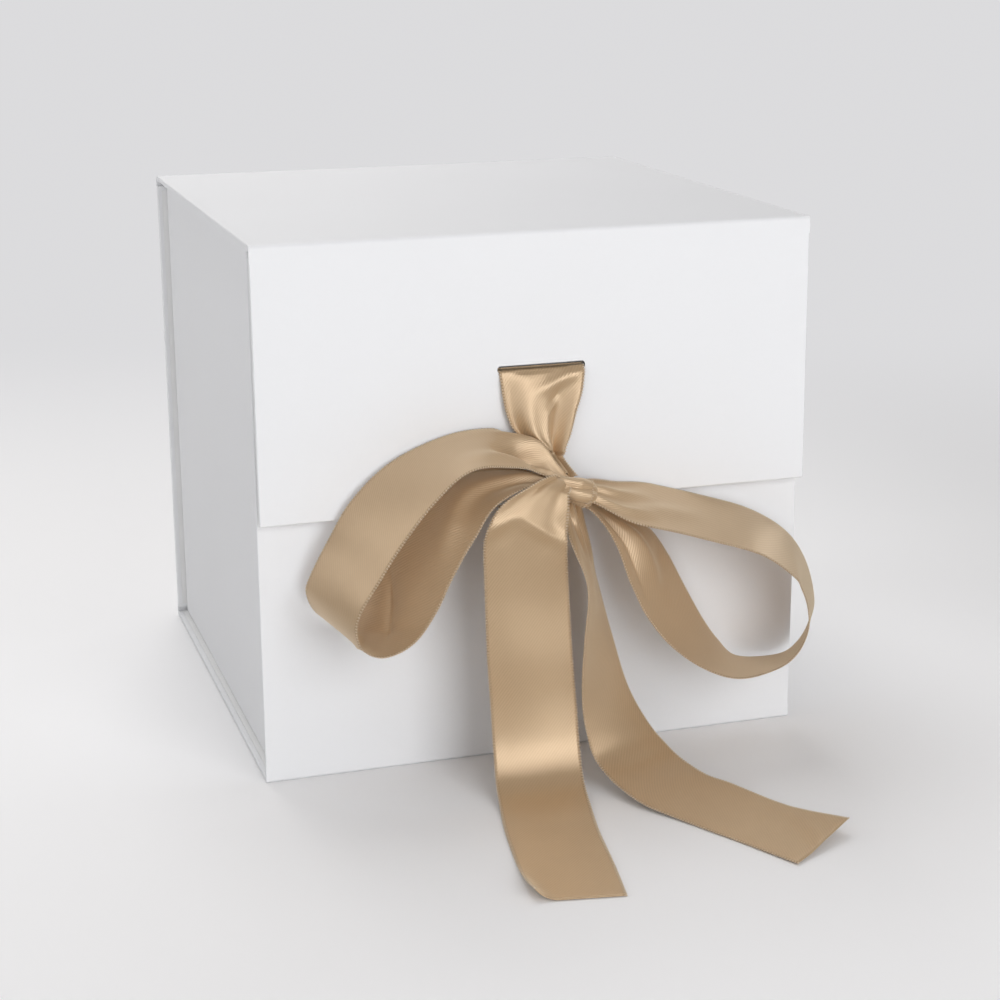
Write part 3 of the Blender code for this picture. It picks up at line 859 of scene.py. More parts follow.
@dataclass(frozen=True)
class FlatRibbon:
    """A strand laid flat.

    places, along and share hold each row's station number, its length along the strand and its
    spread share. run and span hold each point's lengths along and across the strand.
    """

    places: np.ndarray
    along: np.ndarray
    share: np.ndarray
    run: np.ndarray
    span: np.ndarray

    def point(self, place: tuple) -> np.ndarray:
        """Turn (station, place across) into lengths along and across the strand."""
        station, across = place
        return np.array([
            np.interp(station, self.places, self.along),
            across * RIBBON_WIDTH * np.interp(station, self.places, self.share)])

    def reach(self, start: np.ndarray, way: np.ndarray) -> np.ndarray:
        """Return how far every point lies from a start in one direction."""
        return (self.run - start[0]) * way[0] + (self.span - start[1]) * way[1]


@dataclass(frozen=True)
class Fold:
    """A ridge or valley pressed into the ribbon.

    start and end are (station, place across from -0.5 to 0.5). height is along the ribbon's face
    and reach is how far the slope runs to each side. end_turn is how far up a half wave the fold
    begins, so that its ends are low.
    """

    start: tuple
    end: tuple
    height: float
    reach: float
    sharp: bool = False
    end_turn: float = 0.12

    def heights(self, flat: FlatRibbon) -> np.ndarray:
        """Return the fold's height at each point of a strand."""
        start, end = flat.point(self.start), flat.point(self.end)
        length = np.linalg.norm(end - start)
        way = (end - start) / length
        near = (flat.reach(start, way) / length).clip(0, 1)
        gap = np.hypot(flat.run - start[0] - near * length * way[0],
                       flat.span - start[1] - near * length * way[1])
        fade = np.sin(math.pi * (self.end_turn + (1 - 2 * self.end_turn) * near))
        slope = gap / self.reach if self.sharp else (gap / self.reach) ** 2
        return self.height * np.exp(-slope) * fade


@dataclass(frozen=True)
class Curl:
    """A corner or edge that bends away past a line, round a radius, up to an angle.

    fade is how far past its ends the curl dies out, as a share of the line.
    """

    start: tuple
    end: tuple
    radius: float
    angle: float
    fade: float = 0.5

    def shifts(self, flat: FlatRibbon) -> tuple:
        """Return how far the curl moves each point of a strand.

        Args:
            flat: The strand laid flat, with the side that bends outside the curl's line.

        Returns:
            Three arrays: along, across and off the face.
        """
        start, end = flat.point(self.start), flat.point(self.end)
        length = np.linalg.norm(end - start)
        way = (end - start) / length
        side = 1.0 if self.start[1] > 0 else -1.0
        out = np.array([-way[1], way[0]])
        out = out * (side if out[1] > 0 else -side)
        past = flat.reach(start, out).clip(0, None)
        beside = flat.reach(start, way) / length
        inside = (np.minimum(beside, 1 - beside) / self.fade + 1).clip(0, 1)
        turn = np.minimum(past / self.radius, self.angle * inside ** 2 * (3 - 2 * inside))
        rest = past - turn * self.radius
        slide = self.radius * np.sin(turn) + rest * np.cos(turn) - past
        lift = self.radius * (1 - np.cos(turn)) + rest * np.sin(turn)
        return slide * out[0], slide * out[1], lift


def smooth_run(values: np.ndarray, places: np.ndarray) -> np.ndarray:
    """Read a smooth curve through rows of numbers.

    Args:
        values: One row a station.
        places: Station numbers with fractions.

    Returns:
        One row a place.
    """
    last = len(values) - 1
    step = np.minimum(places.astype(int), last - 1)
    t = (places - step)[:, None]
    before, start, end, after = (values[np.clip(step + k, 0, last)] for k in (-1, 0, 1, 2))
    return 0.5 * (
        2 * start + (end - before) * t + (2 * before - 5 * start + 4 * end - after) * t ** 2
        + (3 * start - before - 3 * end + after) * t ** 3)


def unit(rows: np.ndarray) -> np.ndarray:
    """Return each row at length one."""
    return rows / np.linalg.norm(rows, axis=-1, keepdims=True)


@dataclass(frozen=True)
class Rungs:
    """Lines across the ribbon: their middles, width directions and spread shares."""

    middle: np.ndarray
    across: np.ndarray
    share: np.ndarray

    @classmethod
    def of(cls, stations: tuple, lift: float = 0.6 * MM) -> "Rungs":
        """Place stations in front of the flap's lower edge.

        Args:
            stations: Station or TailStation rows.
            lift: Height of a tail's middle line where its level is zero.

        Returns:
            The rungs.
        """
        across = unit(np.array([s.across for s in stations], float))
        share = np.array([s.share for s in stations])
        edge = FLAP.edge
        reach = np.abs(across[:, 1]) * RIBBON_WIDTH * share / 2
        y = edge.y - np.array([s.out for s in stations]) * MM - reach
        if isinstance(stations[0], TailStation):
            z = lift + np.array([s.level for s in stations]) * (edge.z - lift)
        else:
            z = edge.z + np.array([s.rise for s in stations]) * MM
        x = np.array([s.x for s in stations]) * MM
        return cls(np.stack([x, y, z], 1), across, share)

    @classmethod
    def on_flap(cls, route: tuple) -> "Rungs":
        """Place (x, depth behind the face, drop below the hinge, share) rows on the flap's own axes."""
        middle = np.array([FLAP.matrix @ Vector((x, y, -drop)) for x, y, drop, _ in route])
        across = np.tile([1.0, 0.0, 0.0], (len(route), 1))
        return cls(middle, across, np.array([row[3] for row in route], float))

    def then(self, other: "Rungs") -> "Rungs":
        """Return these rungs followed by others."""
        return Rungs(np.concatenate([self.middle, other.middle]),
                     np.concatenate([self.across, other.across]),
                     np.concatenate([self.share, other.share]))


@cache
def stitching_tree() -> bpy.types.NodeTree:
    """Make the tree that sets a small rib at every pitch along an edge line.

    Returns:
        The tree, whose inputs are the ribs' pitch, length, thickness, height and material.
    """
    tree = bpy.data.node_groups.new("edge_ribs", "GeometryNodeTree")
    tree.interface.new_socket("Geometry", in_out="INPUT", socket_type="NodeSocketGeometry")
    for label in ("Pitch", "Rib length", "Rib thickness", "Rib height"):
        tree.interface.new_socket(label, in_out="INPUT", socket_type="NodeSocketFloat")
    tree.interface.new_socket("Material", in_out="INPUT", socket_type="NodeSocketMaterial")
    tree.interface.new_socket("Geometry", in_out="OUTPUT", socket_type="NodeSocketGeometry")
    bench = NodeBench(tree)
    given = bench.add("NodeGroupInput").outputs
    curve = bench.add("GeometryNodeMeshToCurve", {"Mesh": given["Geometry"]})
    points = bench.add(
        "GeometryNodeCurveToPoints", {"Curve": curve.outputs[0], "Length": given["Pitch"]}, mode="LENGTH")
    across = bench.add("GeometryNodeInputNamedAttribute", {"Name": "across"}, data_type="FLOAT_VECTOR")
    face = bench.add("GeometryNodeInputNamedAttribute", {"Name": "face"}, data_type="FLOAT_VECTOR")
    lengthwise = bench.add("FunctionNodeAlignRotationToVector", {"Vector": across.outputs[0]}, axis="X")
    turned = bench.add(
        "FunctionNodeAlignRotationToVector",
        {"Rotation": lengthwise.outputs[0], "Vector": face.outputs[0]}, axis="Z", pivot_axis="X")
    bead = bench.add("GeometryNodeMeshUVSphere", {"Segments": 6, "Rings": 4, "Radius": 0.5})
    size = bench.add("ShaderNodeCombineXYZ", {
        0: given["Rib length"], 1: given["Rib thickness"], 2: given["Rib height"]})
    ribs = bench.add("GeometryNodeInstanceOnPoints", {
        "Points": points.outputs[0], "Instance": bead.outputs[0],
        "Rotation": turned.outputs[0], "Scale": size.outputs[0]})
    real = bench.add("GeometryNodeRealizeInstances", {"Geometry": ribs.outputs[0]})
    smooth = bench.add("GeometryNodeSetShadeSmooth", {"Geometry": real.outputs[0]})
    dressed = bench.add(
        "GeometryNodeSetMaterial", {"Geometry": smooth.outputs[0], "Material": given["Material"]})
    result = bench.add("NodeGroupOutput")
    tree.links.new(dressed.outputs[0], result.inputs[0])
    return tree


@dataclass(frozen=True)
class EdgeRibs:
    """The fine ribs woven along the ribbon's edges."""

    pitch: float = RIB_PITCH
    length: float = 1.45 * MM
    thickness: float = 0.62 * MM
    height: float = 0.72 * MM
    set_in: float = 0.12 * MM

    def build(self, name: str, lines: list) -> bpy.types.Object:
        """Set ribs along edge lines.

        Args:
            name: The piece's name.
            lines: For each edge its points, the directions into the ribbon and the face directions.

        Returns:
            The ribs, as one piece.
        """
        points, across, face, edges = [], [], [], []
        for line, way, front in lines:
            first = sum(len(p) for p in points)
            points.append(line + way * self.set_in)
            across.append(way)
            face.append(front)
            edges += [(first + i, first + i + 1) for i in range(len(line) - 1)]
        mesh = bpy.data.meshes.new(name + "_line")
        mesh.from_pydata([tuple(p) for p in np.concatenate(points)], edges, [])
        for label, rows in (("across", across), ("face", face)):
            stored = mesh.attributes.new(label, "FLOAT_VECTOR", "POINT")
            stored.data.foreach_set("vector", np.concatenate(rows).astype(np.float32).ravel())
        ribs = add_piece(name, mesh)
        tree = stitching_tree()
        modifier = ribs.modifiers.new("ribs", "NODES")
        modifier.node_group = tree
        values = {
            "Pitch": self.pitch, "Rib length": self.length, "Rib thickness": self.thickness,
            "Rib height": self.height, "Material": SATIN_EDGE.material()}
        for item in tree.interface.items_tree:
            if item.in_out == "INPUT" and item.name in values:
                modifier[item.identifier] = values[item.name]
        ribs = settle(ribs)
        if "cloth" not in ribs.data.uv_layers:
            ribs.data.uv_layers.new(name="cloth")
        finish_piece(ribs, SATIN_EDGE)
        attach(ribs, Body.FLAP.value)
        return ribs


@dataclass(frozen=True)
class Strand:
    """One stretch of the ribbon, with its pleats, folds, curled corners and ribbed edges.

    The pleats are a main wave and a second one at twice its rate, shifted beside it. narrowest is
    the least spread share, steepest caps the pleats' slope, spans is the number of rows from one
    station to the next, and free_floor is the gap under the cloth.
    """

    name: str
    nodes: tuple
    rungs: Rungs
    held: str
    rests_on: tuple
    folds: tuple = ()
    curls: tuple = ()
    pleats: float = 2.5
    pleat_phase: float = 0.0
    pleat_lean: float = 0.0
    pleat_gain: float = 0.55
    main_wave: float = 0.85
    second_wave: float = 0.25
    second_shift: float = 0.8
    narrowest: float = 0.1
    steepest: float = 4.0
    thickness: float = 0.4 * MM
    spans: int = 9
    columns: int = 30
    ribs: EdgeRibs = EdgeRibs()
    free_floor: float = 0.12 * MM

    def grid(self) -> tuple:
        """Work the ribbon's surface out.

        Returns:
            The surface's points by row and column, their flat map and the strand's length.
        """
        last = len(self.rungs.middle) - 1
        places = np.linspace(0, last, last * self.spans + 1)
        middle = smooth_run(self.rungs.middle, places)
        across = unit(smooth_run(self.rungs.across, places))
        share = smooth_run(self.rungs.share[:, None], places)[:, 0].clip(self.narrowest, 1.0)
        ahead = unit(np.gradient(middle, axis=0))
        face = unit(np.cross(ahead, across))
        steps = np.linalg.norm(np.diff(middle, axis=0), axis=1)
        along = np.concatenate([[0.0], np.cumsum(steps)])
        v = np.linspace(-0.5, 0.5, self.columns + 1)
        span = v[None, :] * (RIBBON_WIDTH * share)[:, None]
        run = np.broadcast_to(along[:, None], span.shape)
        flat = FlatRibbon(places, along, share, run, span)
        offset = self.pleat_offset(share, v)
        for fold in self.folds:
            offset = offset + fold.heights(flat)
        slide_along = np.zeros_like(span)
        slide_across = np.zeros_like(span)
        for curl in self.curls:
            ahead_by, aside_by, up_by = curl.shifts(flat)
            slide_along = slide_along + ahead_by
            slide_across = slide_across + aside_by
            offset = offset + up_by
        points = (
            middle[:, None, :] + across[:, None, :] * (span + slide_across)[..., None]
            + ahead[:, None, :] * slide_along[..., None] + face[:, None, :] * offset[..., None])
        points[..., 2] = np.maximum(points[..., 2], self.thickness / 2 + self.free_floor)
        cloth_map = np.stack([np.broadcast_to((v + 0.5)[None, :] * RIBBON_WIDTH, span.shape), run], -1)
        return points, cloth_map, along[-1]

    def pleat_offset(self, share: np.ndarray, v: np.ndarray) -> np.ndarray:
        """Work out the pleats' height: the less the ribbon is spread, the deeper they are.

        Args:
            share: Spread share of each row.
            v: Place across of each column.

        Returns:
            Heights by row and column.
        """
        wave = RIBBON_WIDTH * share / self.pleats
        steep = np.sqrt(2 * (1 / share ** 2 - 1)).clip(0, self.steepest)
        depth = self.pleat_gain * steep * wave / (2 * math.pi)
        turn = 2 * math.pi * self.pleats * v + self.pleat_phase
        second = self.second_wave * np.sin(2 * turn + self.second_shift)
        shape = self.main_wave * np.sin(turn) + second + self.pleat_lean
        return depth[:, None] * shape[None, :]

    def build(self) -> bpy.types.Object:
        """Returns:
            The strand.
        """
        points, cloth_map, length = self.grid()
        rows, columns = points.shape[:2]
        corners = [row * columns + column for row in range(rows - 1) for column in range(columns - 1)]
        faces = [(i, i + 1, i + 1 + columns, i + columns) for i in corners]
        mesh = mesh_from_arrays(self.name, points.reshape(-1, 3), faces, {"cloth": cloth_map.reshape(-1, 2)})
        mesh.shade_smooth()
        cloth = add_piece(self.name, mesh)
        wall = cloth.modifiers.new("thickness", "SOLIDIFY")
        wall.thickness = self.thickness
        wall.offset = 0.0
        cloth = settle(cloth)
        finish_piece(cloth, SATIN, self.nodes)
        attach(cloth, Body.FLAP.value)
        ribs = self.ribbed_edges(points)
        return cloth

    def ribbed_edges(self, points: np.ndarray) -> bpy.types.Object:
        """Set the fine ribs along both edges of the strand.

        Args:
            points: The strand's surface points by row and column.

        Returns:
            The ribs, as one piece.
        """
        lines = []
        for column, inner in ((0, 1), (points.shape[1] - 1, points.shape[1] - 2)):
            line = points[:, column]
            way = unit(points[:, inner] - line)
            ahead = unit(np.gradient(line, axis=0))
            lines.append((line, way, unit(np.cross(ahead, way))))
        return self.ribs.build(self.name + "_edge_ribs", lines)


@dataclass(frozen=True)
class Knot:
    """The knot: a gathered band whose pleats run along it, from its narrow end to its ribbed edge.

    mouth and opening say how fast the band widens from its narrow end, and from closes_from, a
    share of its length, it narrows again by closes_by. ridge_level is the pleats' middle level,
    fine_depth is for the small creases between them, and map_stretch spreads the weave round it.
    ribs_at is the ribbed edge's place along the band.
    """

    name: str = "knot"
    node: str = "bow_knot"
    tilt: float = math.radians(24)
    rings: int = 40
    sides: int = 112
    pleats: float = 4.0
    pleat_depth: float = 0.34
    ridge_level: float = 0.6
    fine_depth: float = 0.025
    twist: float = 0.55
    girth: float = 0.76
    mouth: float = 0.55
    opening: float = 0.8
    closes_from: float = 0.8
    closes_by: float = 0.3
    map_stretch: float = 1.3
    ribs_at: float = 0.84
    ribs_proud: float = 0.15 * MM
    ribs: EdgeRibs = EdgeRibs(length=0.9 * MM, thickness=0.5 * MM, height=0.5 * MM, set_in=0.0)

    def half_sizes(self) -> tuple:
        """Return the half sizes of the tilted lump that just fills the frame node's box."""
        low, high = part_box(self.node)
        half = (high - low) / 2
        cosine, sine = math.cos(self.tilt) ** 2, math.sin(self.tilt) ** 2
        spread = cosine ** 2 - sine ** 2
        length = math.sqrt((half.x ** 2 * cosine - half.z ** 2 * sine) / spread)
        height = math.sqrt((half.z ** 2 * cosine - half.x ** 2 * sine) / spread)
        return length, half.y, height

    def swell(self, t: float) -> float:
        """Return the band's girth at a share of its length: narrow at first, full near its ribbed edge."""
        widening = min(1.0, self.mouth + self.opening * t) ** self.opening
        past = max(0.0, (t - self.closes_from) / (1 - self.closes_from))
        return self.girth * widening * (1 - self.closes_by * past ** 2)

    def surface(self, place: Matrix) -> tuple:
        """Work the knot's surface out.

        Args:
            place: The knot's own axes.

        Returns:
            Its points and its flat map, ring by ring.
        """
        length, depth, height = self.half_sizes()
        points, cloth_map = [], []
        for ring in range(self.rings + 1):
            t = ring / self.rings
            for side in range(self.sides):
                turn = 2 * math.pi * side / self.sides
                ridge = abs(math.sin(self.pleats * turn / 2 + self.twist * math.pi * t))
                fine = math.sin(2 * self.pleats * turn + 3.0 * t + 1.0)
                pleated = self.pleat_depth * (ridge - self.ridge_level) + self.fine_depth * fine
                size = self.swell(t) * (1 + pleated)
                points.append(tuple(place @ Vector((
                    length * (2 * t - 1), depth * size * math.cos(turn), height * size * math.sin(turn)))))
                cloth_map.append((height * self.map_stretch * turn, length * 2 * t))
        return np.array(points), np.array(cloth_map)

    def skin(self) -> list:
        """List the faces between the rings and at both ends.

        Returns:
            Tuples of point numbers.
        """
        faces = []
        for ring in range(self.rings):
            here, ahead = ring * self.sides, (ring + 1) * self.sides
            for side in range(self.sides):
                other = (side + 1) % self.sides
                faces.append((here + side, here + other, ahead + other, ahead + side))
        last = self.rings * self.sides
        return [*faces, tuple(range(self.sides)), tuple(range(last + self.sides - 1, last - 1, -1))]

    def rib_line(self, points: np.ndarray, place: Matrix) -> tuple:
        """Find the ring that the ribbed edge follows.

        Args:
            points: The knot's points, ring by ring.
            place: The knot's own axes.

        Returns:
            The ring's points, the directions into the ribbon and the face directions.
        """
        first = round(self.rings * self.ribs_at) * self.sides
        rim = points[first:first + self.sides]
        outward = unit(rim - rim.mean(0))
        inward = np.tile(np.array(place.to_3x3() @ Vector((-1.0, 0.0, 0.0))), (len(rim), 1))
        return rim + outward * self.ribs_proud, inward, outward

    def build(self) -> bpy.types.Object:
        """Build the knot inside its frame node's space.

        Returns:
            The finished piece.
        """
        low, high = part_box(self.node)
        place = Matrix.Translation((low + high) / 2) @ Matrix.Rotation(self.tilt, 4, "Y")
        points, cloth_map = self.surface(place)
        self.ribs.build(self.name + "_edge_ribs", [self.rib_line(points, place)])
        mesh = mesh_from_arrays(self.name, points, self.skin(), {"cloth": cloth_map})
        face_outward(mesh)
        mesh.shade_smooth()
        knot = add_piece(self.name, mesh)
        finish_piece(knot, SATIN, (self.node,))
        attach(knot, Body.FLAP.value)
        return knot


@dataclass(frozen=True)
class RibbonBow:
    """The ribbon from the slot to the tails' ends.

    behind and proud are how far its middle stays off the flap's inner and outer face.
    """

    behind: float = 0.55 * MM
    proud: float = 0.55 * MM
    knot: Knot = Knot()

    def slot_depths(self) -> tuple:
        """Return the flap's thickness and the drop of its slot below the hinge."""
        thick = max(c.y for c in FLAP.corners("flap_liner"))
        heights = [c.z for c in FLAP.slot_ring("flap_liner")]
        return thick, -(min(heights) + max(heights)) / 2

    def slot_strand(self) -> Strand:
        """Lay out the strand that comes out of the slot and narrows towards the knot.

        Returns:
            The strand.
        """
        thick, slot = self.slot_depths()
        out_of_slot = Rungs.on_flap((
            (0.0, thick * 0.4, slot + 0.8 * MM, 1.0), (0.0, -self.proud, slot + 1.5 * MM, 1.0)))
        return Strand(
            "slot_strand", ("ribbon_slot_strand",), out_of_slot.then(Rungs.of(SLOT_STRAND)),
            held="gathered", rests_on=("flap_wrap",),
            pleats=1.5, pleat_phase=2.6, pleat_lean=1.0, pleat_gain=0.62,
            folds=(
                Fold((1.0, 0.5), (1.9, -0.05), 1.6 * MM, 2.6 * MM),
                Fold((2.0, 0.28), (2.6, 0.12), -1.2 * MM, 2.0 * MM),
                Fold((1.9, 0.30), (3.0, 0.10), 1.6 * MM, 1.2 * MM, sharp=True),
                Fold((3.0, 0.10), (5.6, 0.05), 1.6 * MM, 1.3 * MM, sharp=True)))

    def back_strand(self) -> Strand:
        """Lay out the strand that goes down behind the flap and round its edge to the knot.

        Returns:
            The strand.
        """
        thick, slot = self.slot_depths()
        far = thick + self.behind
        below = FLAP.length + self.behind
        knot_x = sum(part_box("bow_knot"), Vector()).x / 2
        route = (
            (0.0, thick * 0.7, slot - 0.3 * MM, 1.0),
            (0.0, thick + 0.9 * MM, slot + 1.05 * MM, 1.0),
            (0.0, far + 0.3 * MM, slot + 4 * MM, 1.0),
            (0.0, far, slot + 9 * MM, 1.0),
            (0.0, far, FLAP.length * 0.75, 1.0),
            (0.0, far, FLAP.length - 2 * MM, 1.0),
            (0.0, thick * 0.6, below + 0.8 * MM, 1.0),
            (0.5 * MM, -2.0 * MM, below + 0.6 * MM, 0.86),
            (3.5 * MM, -7.0 * MM, FLAP.length - 1.5 * MM, 0.50),
            (knot_x, -13.0 * MM, FLAP.length - 5.5 * MM, 0.26))
        return Strand(
            "back_strand", ("ribbon_back_strand",), Rungs.on_flap(route),
            held="hung", rests_on=("flap_wrap",), pleat_gain=0.3)

    @staticmethod
    def left_loop() -> Strand:
        """Lay out the left loop, which leans over the box's front.

        Returns:
            The strand.
        """
        return Strand(
            "left_loop", ("bow_left_loop",), Rungs.of(LEFT_LOOP), held="gathered", rests_on=("bow_knot",),
            pleats=1.6, pleat_gain=0.30, pleat_phase=0.6,
            folds=(
                Fold((1.2, -0.2), (3.5, 0.03), 6.0 * MM, 4.5 * MM),
                Fold((1.2, 0.05), (3.0, 0.32), -2.5 * MM, 3.5 * MM),
                Fold((10.7, -0.48), (12.3, 0.12), -1.1 * MM, 1.8 * MM, sharp=True),
                Fold((12.3, 0.12), (13.4, -0.42), -1.0 * MM, 2.0 * MM, sharp=True),
                Fold((14.2, 0.32), (12.6, -0.15), -2.4 * MM, 2.4 * MM, sharp=True),
                Fold((15.3, -0.2), (17.4, 0.1), 1.6 * MM, 6.0 * MM)),
            curls=(Curl((1.0, 0.36), (3.3, 0.36), 3.0 * MM, math.radians(60)),))

    @staticmethod
    def right_loop() -> Strand:
        """Lay out the right loop, which hangs lower than the left one.

        Returns:
            The strand.
        """
        return Strand(
            "right_loop", ("bow_right_loop",), Rungs.of(RIGHT_LOOP), held="gathered",
            rests_on=("bow_knot",), pleat_gain=0.34, pleat_phase=1.2,
            folds=(
                Fold((1.2, -0.1), (2.6, -0.25), -1.0 * MM, 3.0 * MM),
                Fold((1.8, 0.3), (3.8, 0.0), -1.2 * MM, 5.0 * MM),
                Fold((18.0, 0.20), (15.4, 0.34), -1.6 * MM, 1.8 * MM, sharp=True),
                Fold((17.8, -0.1), (15.2, -0.05), 2.0 * MM, 6.0 * MM),
                Fold((16.6, -0.42), (15.0, 0.05), -0.9 * MM, 4.0 * MM)))

    @staticmethod
    def left_tail() -> Strand:
        """Lay out the left tail, which comes from the knot's top and ends on the floor, a corner up.

        Returns:
            The strand.
        """
        return Strand(
            "left_tail_ribbon", ("left_tail",), Rungs.of(LEFT_TAIL), held="gathered",
            rests_on=("bow_knot", "flap_wrap"), pleats=1.6, pleat_phase=1.57, pleat_gain=0.22,
            folds=(
                Fold((3.6, -0.52), (2.6, -0.2), 1.5 * MM, 3.0 * MM),
                Fold((2.6, -0.2), (3.75, 0.5), 1.5 * MM, 3.0 * MM),
                Fold((5.0, -0.25), (8.4, -0.1), 0.9 * MM, 12.0 * MM),
                Fold((4.6, 0.38), (7.0, 0.3), -0.5 * MM, 6.0 * MM)),
            curls=(Curl((11.55, -0.5), (13.0, -0.17), 10.5 * MM, math.radians(62)),))

    @staticmethod
    def right_tail() -> Strand:
        """Lay out the right tail, which hangs behind the left one and lies out on the floor.

        Returns:
            The strand.
        """
        return Strand(
            "right_tail_ribbon", ("right_tail",), Rungs.of(RIGHT_TAIL), held="gathered",
            rests_on=("bow_knot",), pleat_gain=0.40, pleat_phase=1.0,
            folds=(
                Fold((0.8, -0.2), (3.0, -0.1), 1.4 * MM, 6.0 * MM),
                Fold((7.1, -0.5), (6.6, 0.5), 0.9 * MM, 4.0 * MM),
                Fold((10.4, 0.5), (12.0, 0.0), 0.5 * MM, 4.0 * MM)),
            curls=(Curl((10.5, 0.5), (12.0, -0.3), 14.0 * MM, math.radians(9)),))

    def build(self) -> None:
        """Build the knot and every strand, from the slot round to the tails."""
        self.knot.build()
        for strand in (self.slot_strand(), self.back_strand(), self.left_loop(), self.right_loop(),
                       self.left_tail(), self.right_tail()):
            strand.build()


@dataclass(frozen=True)
class Lamp:
    """A square soft light that faces the box: its place, its side and its power in watts."""

    name: str
    place: tuple
    size: float
    power: float
    colour: tuple = (0.98, 0.99, 1.0)
    aim: tuple = (0.0, 0.0, 0.1)

    def build(self) -> None:
        """Hang the lamp."""
        light = bpy.data.lights.new(self.name, "AREA")
        light.size = self.size
        light.energy = self.power
        light.color = self.colour
        lamp = bpy.data.objects.new(self.name, light)
        lamp.location = self.place
        way = Vector(self.aim) - Vector(self.place)
        lamp.rotation_euler = way.to_track_quat("-Z", "Y").to_euler()
        bpy.context.scene.collection.objects.link(lamp)


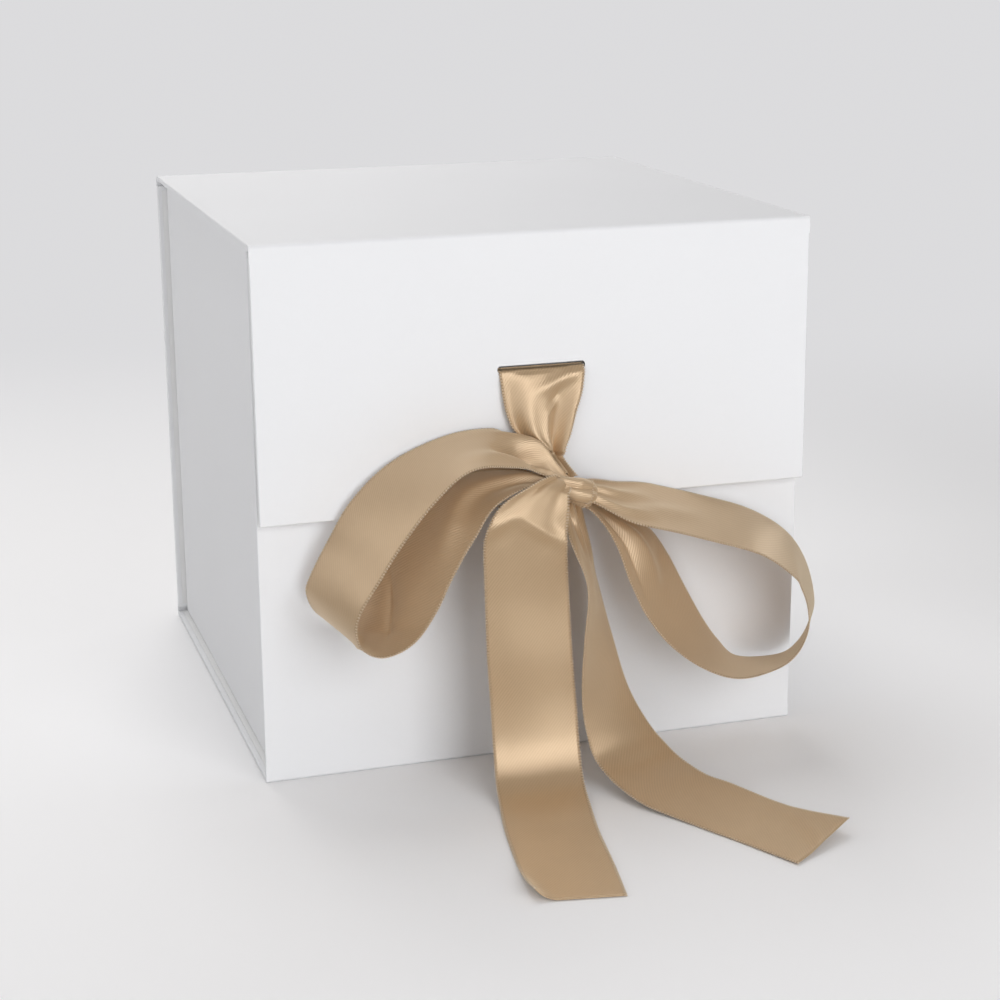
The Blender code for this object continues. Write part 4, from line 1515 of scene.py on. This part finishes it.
@dataclass(frozen=True)
class Studio:
    """The pale floor, the soft lights and the camera.

    The floor is floor_near to the light that it throws back, floor_seen to the camera and
    floor_mirrored in what the satin reflects. For the camera it darkens to floor_painted_shadow
    from painted_shadow_start to painted_shadow_end, a painted shadow of the box on the floor to its
    right. For the camera and the satin it turns to the even floor_far from far_start to far_end
    behind the box. mirrored_sky is the share of the sky that glossy rays see.
    """

    floor_size: float = 24.0
    floor_near: tuple = (0.860, 0.855, 0.855)
    floor_seen: tuple = (0.950, 0.945, 0.947)
    # Painted shadow: the box's soft shadow on the floor to its right, shown to the camera only.
    floor_painted_shadow: tuple = (0.800, 0.797, 0.800)
    floor_mirrored: tuple = (0.360, 0.350, 0.345)
    floor_far: tuple = (0.715, 0.712, 0.725)
    floor_roughness: float = 0.75
    floor_specular: float = 0.2
    painted_shadow_start: float = 0.14
    painted_shadow_end: float = 0.48
    far_start: float = 0.12
    far_end: float = 0.80
    sky: float = 0.29
    sky_lean: float = 0.12
    sky_way: tuple = (0.35, -0.65, 0.65)
    sky_colour: tuple = (1.0, 0.985, 0.99)
    mirrored_sky: float = 0.5
    lamps: tuple = (
        Lamp("front_light", (0.27, -1.27, 0.47), 0.8, 6.7),
        Lamp("front_left_light", (-0.90, -1.10, 0.30), 0.7, 2.5, (0.97, 0.99, 1.0)),
        Lamp("left_light", (-1.13, 0.37, 0.75), 0.7, 2.6),
        Lamp("rear_light", (-0.05, 0.96, 1.05), 0.8, 4.9, (1.0, 0.99, 0.98)),
        Lamp("top_light", (-0.12, 0.33, 1.40), 0.6, 3.4, (1.0, 0.99, 0.98)),
        Lamp("rear_right_light", (1.55, 1.15, 0.72), 0.7, 3.6),
    )
    eye: tuple = (-258.68 * MM, -876.07 * MM, 338.65 * MM)
    azimuth: float = math.radians(17.60)
    pitch: float = math.radians(-15.892)
    roll: float = math.radians(-0.33)
    lens: float = 74.76
    sensor: float = 36.0
    nearest: float = 0.01
    farthest: float = 100.0

    def build(self) -> None:
        """Build the floor, the world, the lights and the camera."""
        self.floor()
        self.world()
        for lamp in self.lamps:
            lamp.build()
        self.camera()
        bpy.context.scene.view_settings.view_transform = "Standard"

    def floor(self) -> None:
        """Make the floor, which turns into an even backdrop behind the box."""
        half = self.floor_size / 2
        points = np.array([(-half, -half, 0.0), (half, -half, 0.0), (half, half, 0.0), (-half, half, 0.0)])
        floor = add_piece("studio_floor", mesh_from_arrays("studio_floor", points, [(0, 1, 2, 3)]))
        made, bench, shader = new_material("studio_floor_finish")
        place = bench.add("ShaderNodeSeparateXYZ", {0: bench.add("ShaderNodeTexCoord").outputs["Object"]})
        behind = bench.math(
            "ADD", bench.math("MULTIPLY", place.outputs[0], math.sin(self.azimuth)),
            bench.math("MULTIPLY", place.outputs[1], math.cos(self.azimuth)))
        far = bench.add("ShaderNodeMapRange", {
            "Value": behind, "From Min": self.far_start, "From Max": self.far_end},
            interpolation_type="SMOOTHSTEP")
        # Painted shadow: for the camera the floor darkens to the right of the box, where its shadow falls.
        painted_shadow_share = bench.add("ShaderNodeMapRange", {
            "Value": place.outputs[0], "From Min": self.painted_shadow_start, "From Max": self.painted_shadow_end},
            interpolation_type="SMOOTHSTEP")
        paths = bench.add("ShaderNodeLightPath").outputs
        seen = bench.math("MAXIMUM", paths["Is Camera Ray"], paths["Is Glossy Ray"])
        unseen = bench.mix(paths["Is Glossy Ray"], (*self.floor_near, 1.0), (*self.floor_mirrored, 1.0))
        shown = bench.mix(painted_shadow_share.outputs[0], (*self.floor_seen, 1.0), (*self.floor_painted_shadow, 1.0))
        bench.feed(shader, {
            "Base Color": bench.mix(paths["Is Camera Ray"], unseen, shown),
            "Roughness": self.floor_roughness, "Specular IOR Level": self.floor_specular})
        glow = bench.add("ShaderNodeEmission", {"Color": (*self.floor_far, 1.0), "Strength": 1.0})
        blend = bench.add("ShaderNodeMixShader", {
            0: bench.math("MULTIPLY", far.outputs[0], seen), 1: shader.outputs[0], 2: glow.outputs[0]})
        bench.feed(made.node_tree.nodes["Material Output"], {"Surface": blend.outputs[0]})
        floor.data.materials.append(made)

    def world(self) -> None:
        """Light the set evenly, a little brighter from the front and the top."""
        world = bpy.data.worlds.new("studio")
        bpy.context.scene.world = world
        world.use_nodes = True
        nodes = world.node_tree.nodes
        bench = NodeBench(world.node_tree)
        way = bench.add("ShaderNodeTexCoord").outputs["Generated"]
        lean = bench.add("ShaderNodeVectorMath", {0: way, 1: self.sky_way}, operation="DOT_PRODUCT")
        level = bench.math("MULTIPLY_ADD", lean.outputs["Value"], self.sky_lean, self.sky)
        paths = bench.add("ShaderNodeLightPath").outputs
        seen = bench.math("MAXIMUM", paths["Is Camera Ray"], paths["Is Transmission Ray"])
        dimmed = bench.math("MULTIPLY_ADD", paths["Is Glossy Ray"], self.mirrored_sky - 1.0, 1.0)
        light = bench.add("ShaderNodeBackground", {
            "Color": (*self.sky_colour, 1.0), "Strength": bench.math("MULTIPLY", level, dimmed)})
        bench.feed(nodes["Background"], {"Color": (*self.floor_far, 1.0)})
        blend = bench.add("ShaderNodeMixShader", {
            0: seen, 1: light.outputs[0], 2: nodes["Background"].outputs[0]})
        bench.feed(nodes["World Output"], {"Surface": blend.outputs[0]})

    def camera(self) -> None:
        """Stand the camera at the photograph's viewing angle."""
        flat = Vector((math.sin(self.azimuth), math.cos(self.azimuth), 0.0))
        forward = flat * math.cos(self.pitch) + Vector((0.0, 0.0, math.sin(self.pitch)))
        right = Vector((math.cos(self.azimuth), -math.sin(self.azimuth), 0.0))
        up = right.cross(forward)
        level_right = right * math.cos(self.roll) + up * math.sin(self.roll)
        level_up = level_right.cross(forward)
        turn = Matrix((level_right, level_up, -forward)).transposed()
        data = bpy.data.cameras.new("camera")
        data.lens = self.lens
        data.sensor_width = self.sensor
        data.clip_start = self.nearest
        data.clip_end = self.farthest
        camera = bpy.data.objects.new("camera", data)
        camera.matrix_world = Matrix.Translation(self.eye) @ turn.to_4x4()
        bpy.context.scene.collection.objects.link(camera)
        bpy.context.scene.camera = camera


def main() -> None:
    """Build the studio, the box and its ribbon, in that order."""
    logging.basicConfig(level=logging.INFO, format="%(name)s %(message)s")
    Studio().build()
    BoxShell().build()
    RibbonBow().build()


if __name__ == "__main__":
    main()
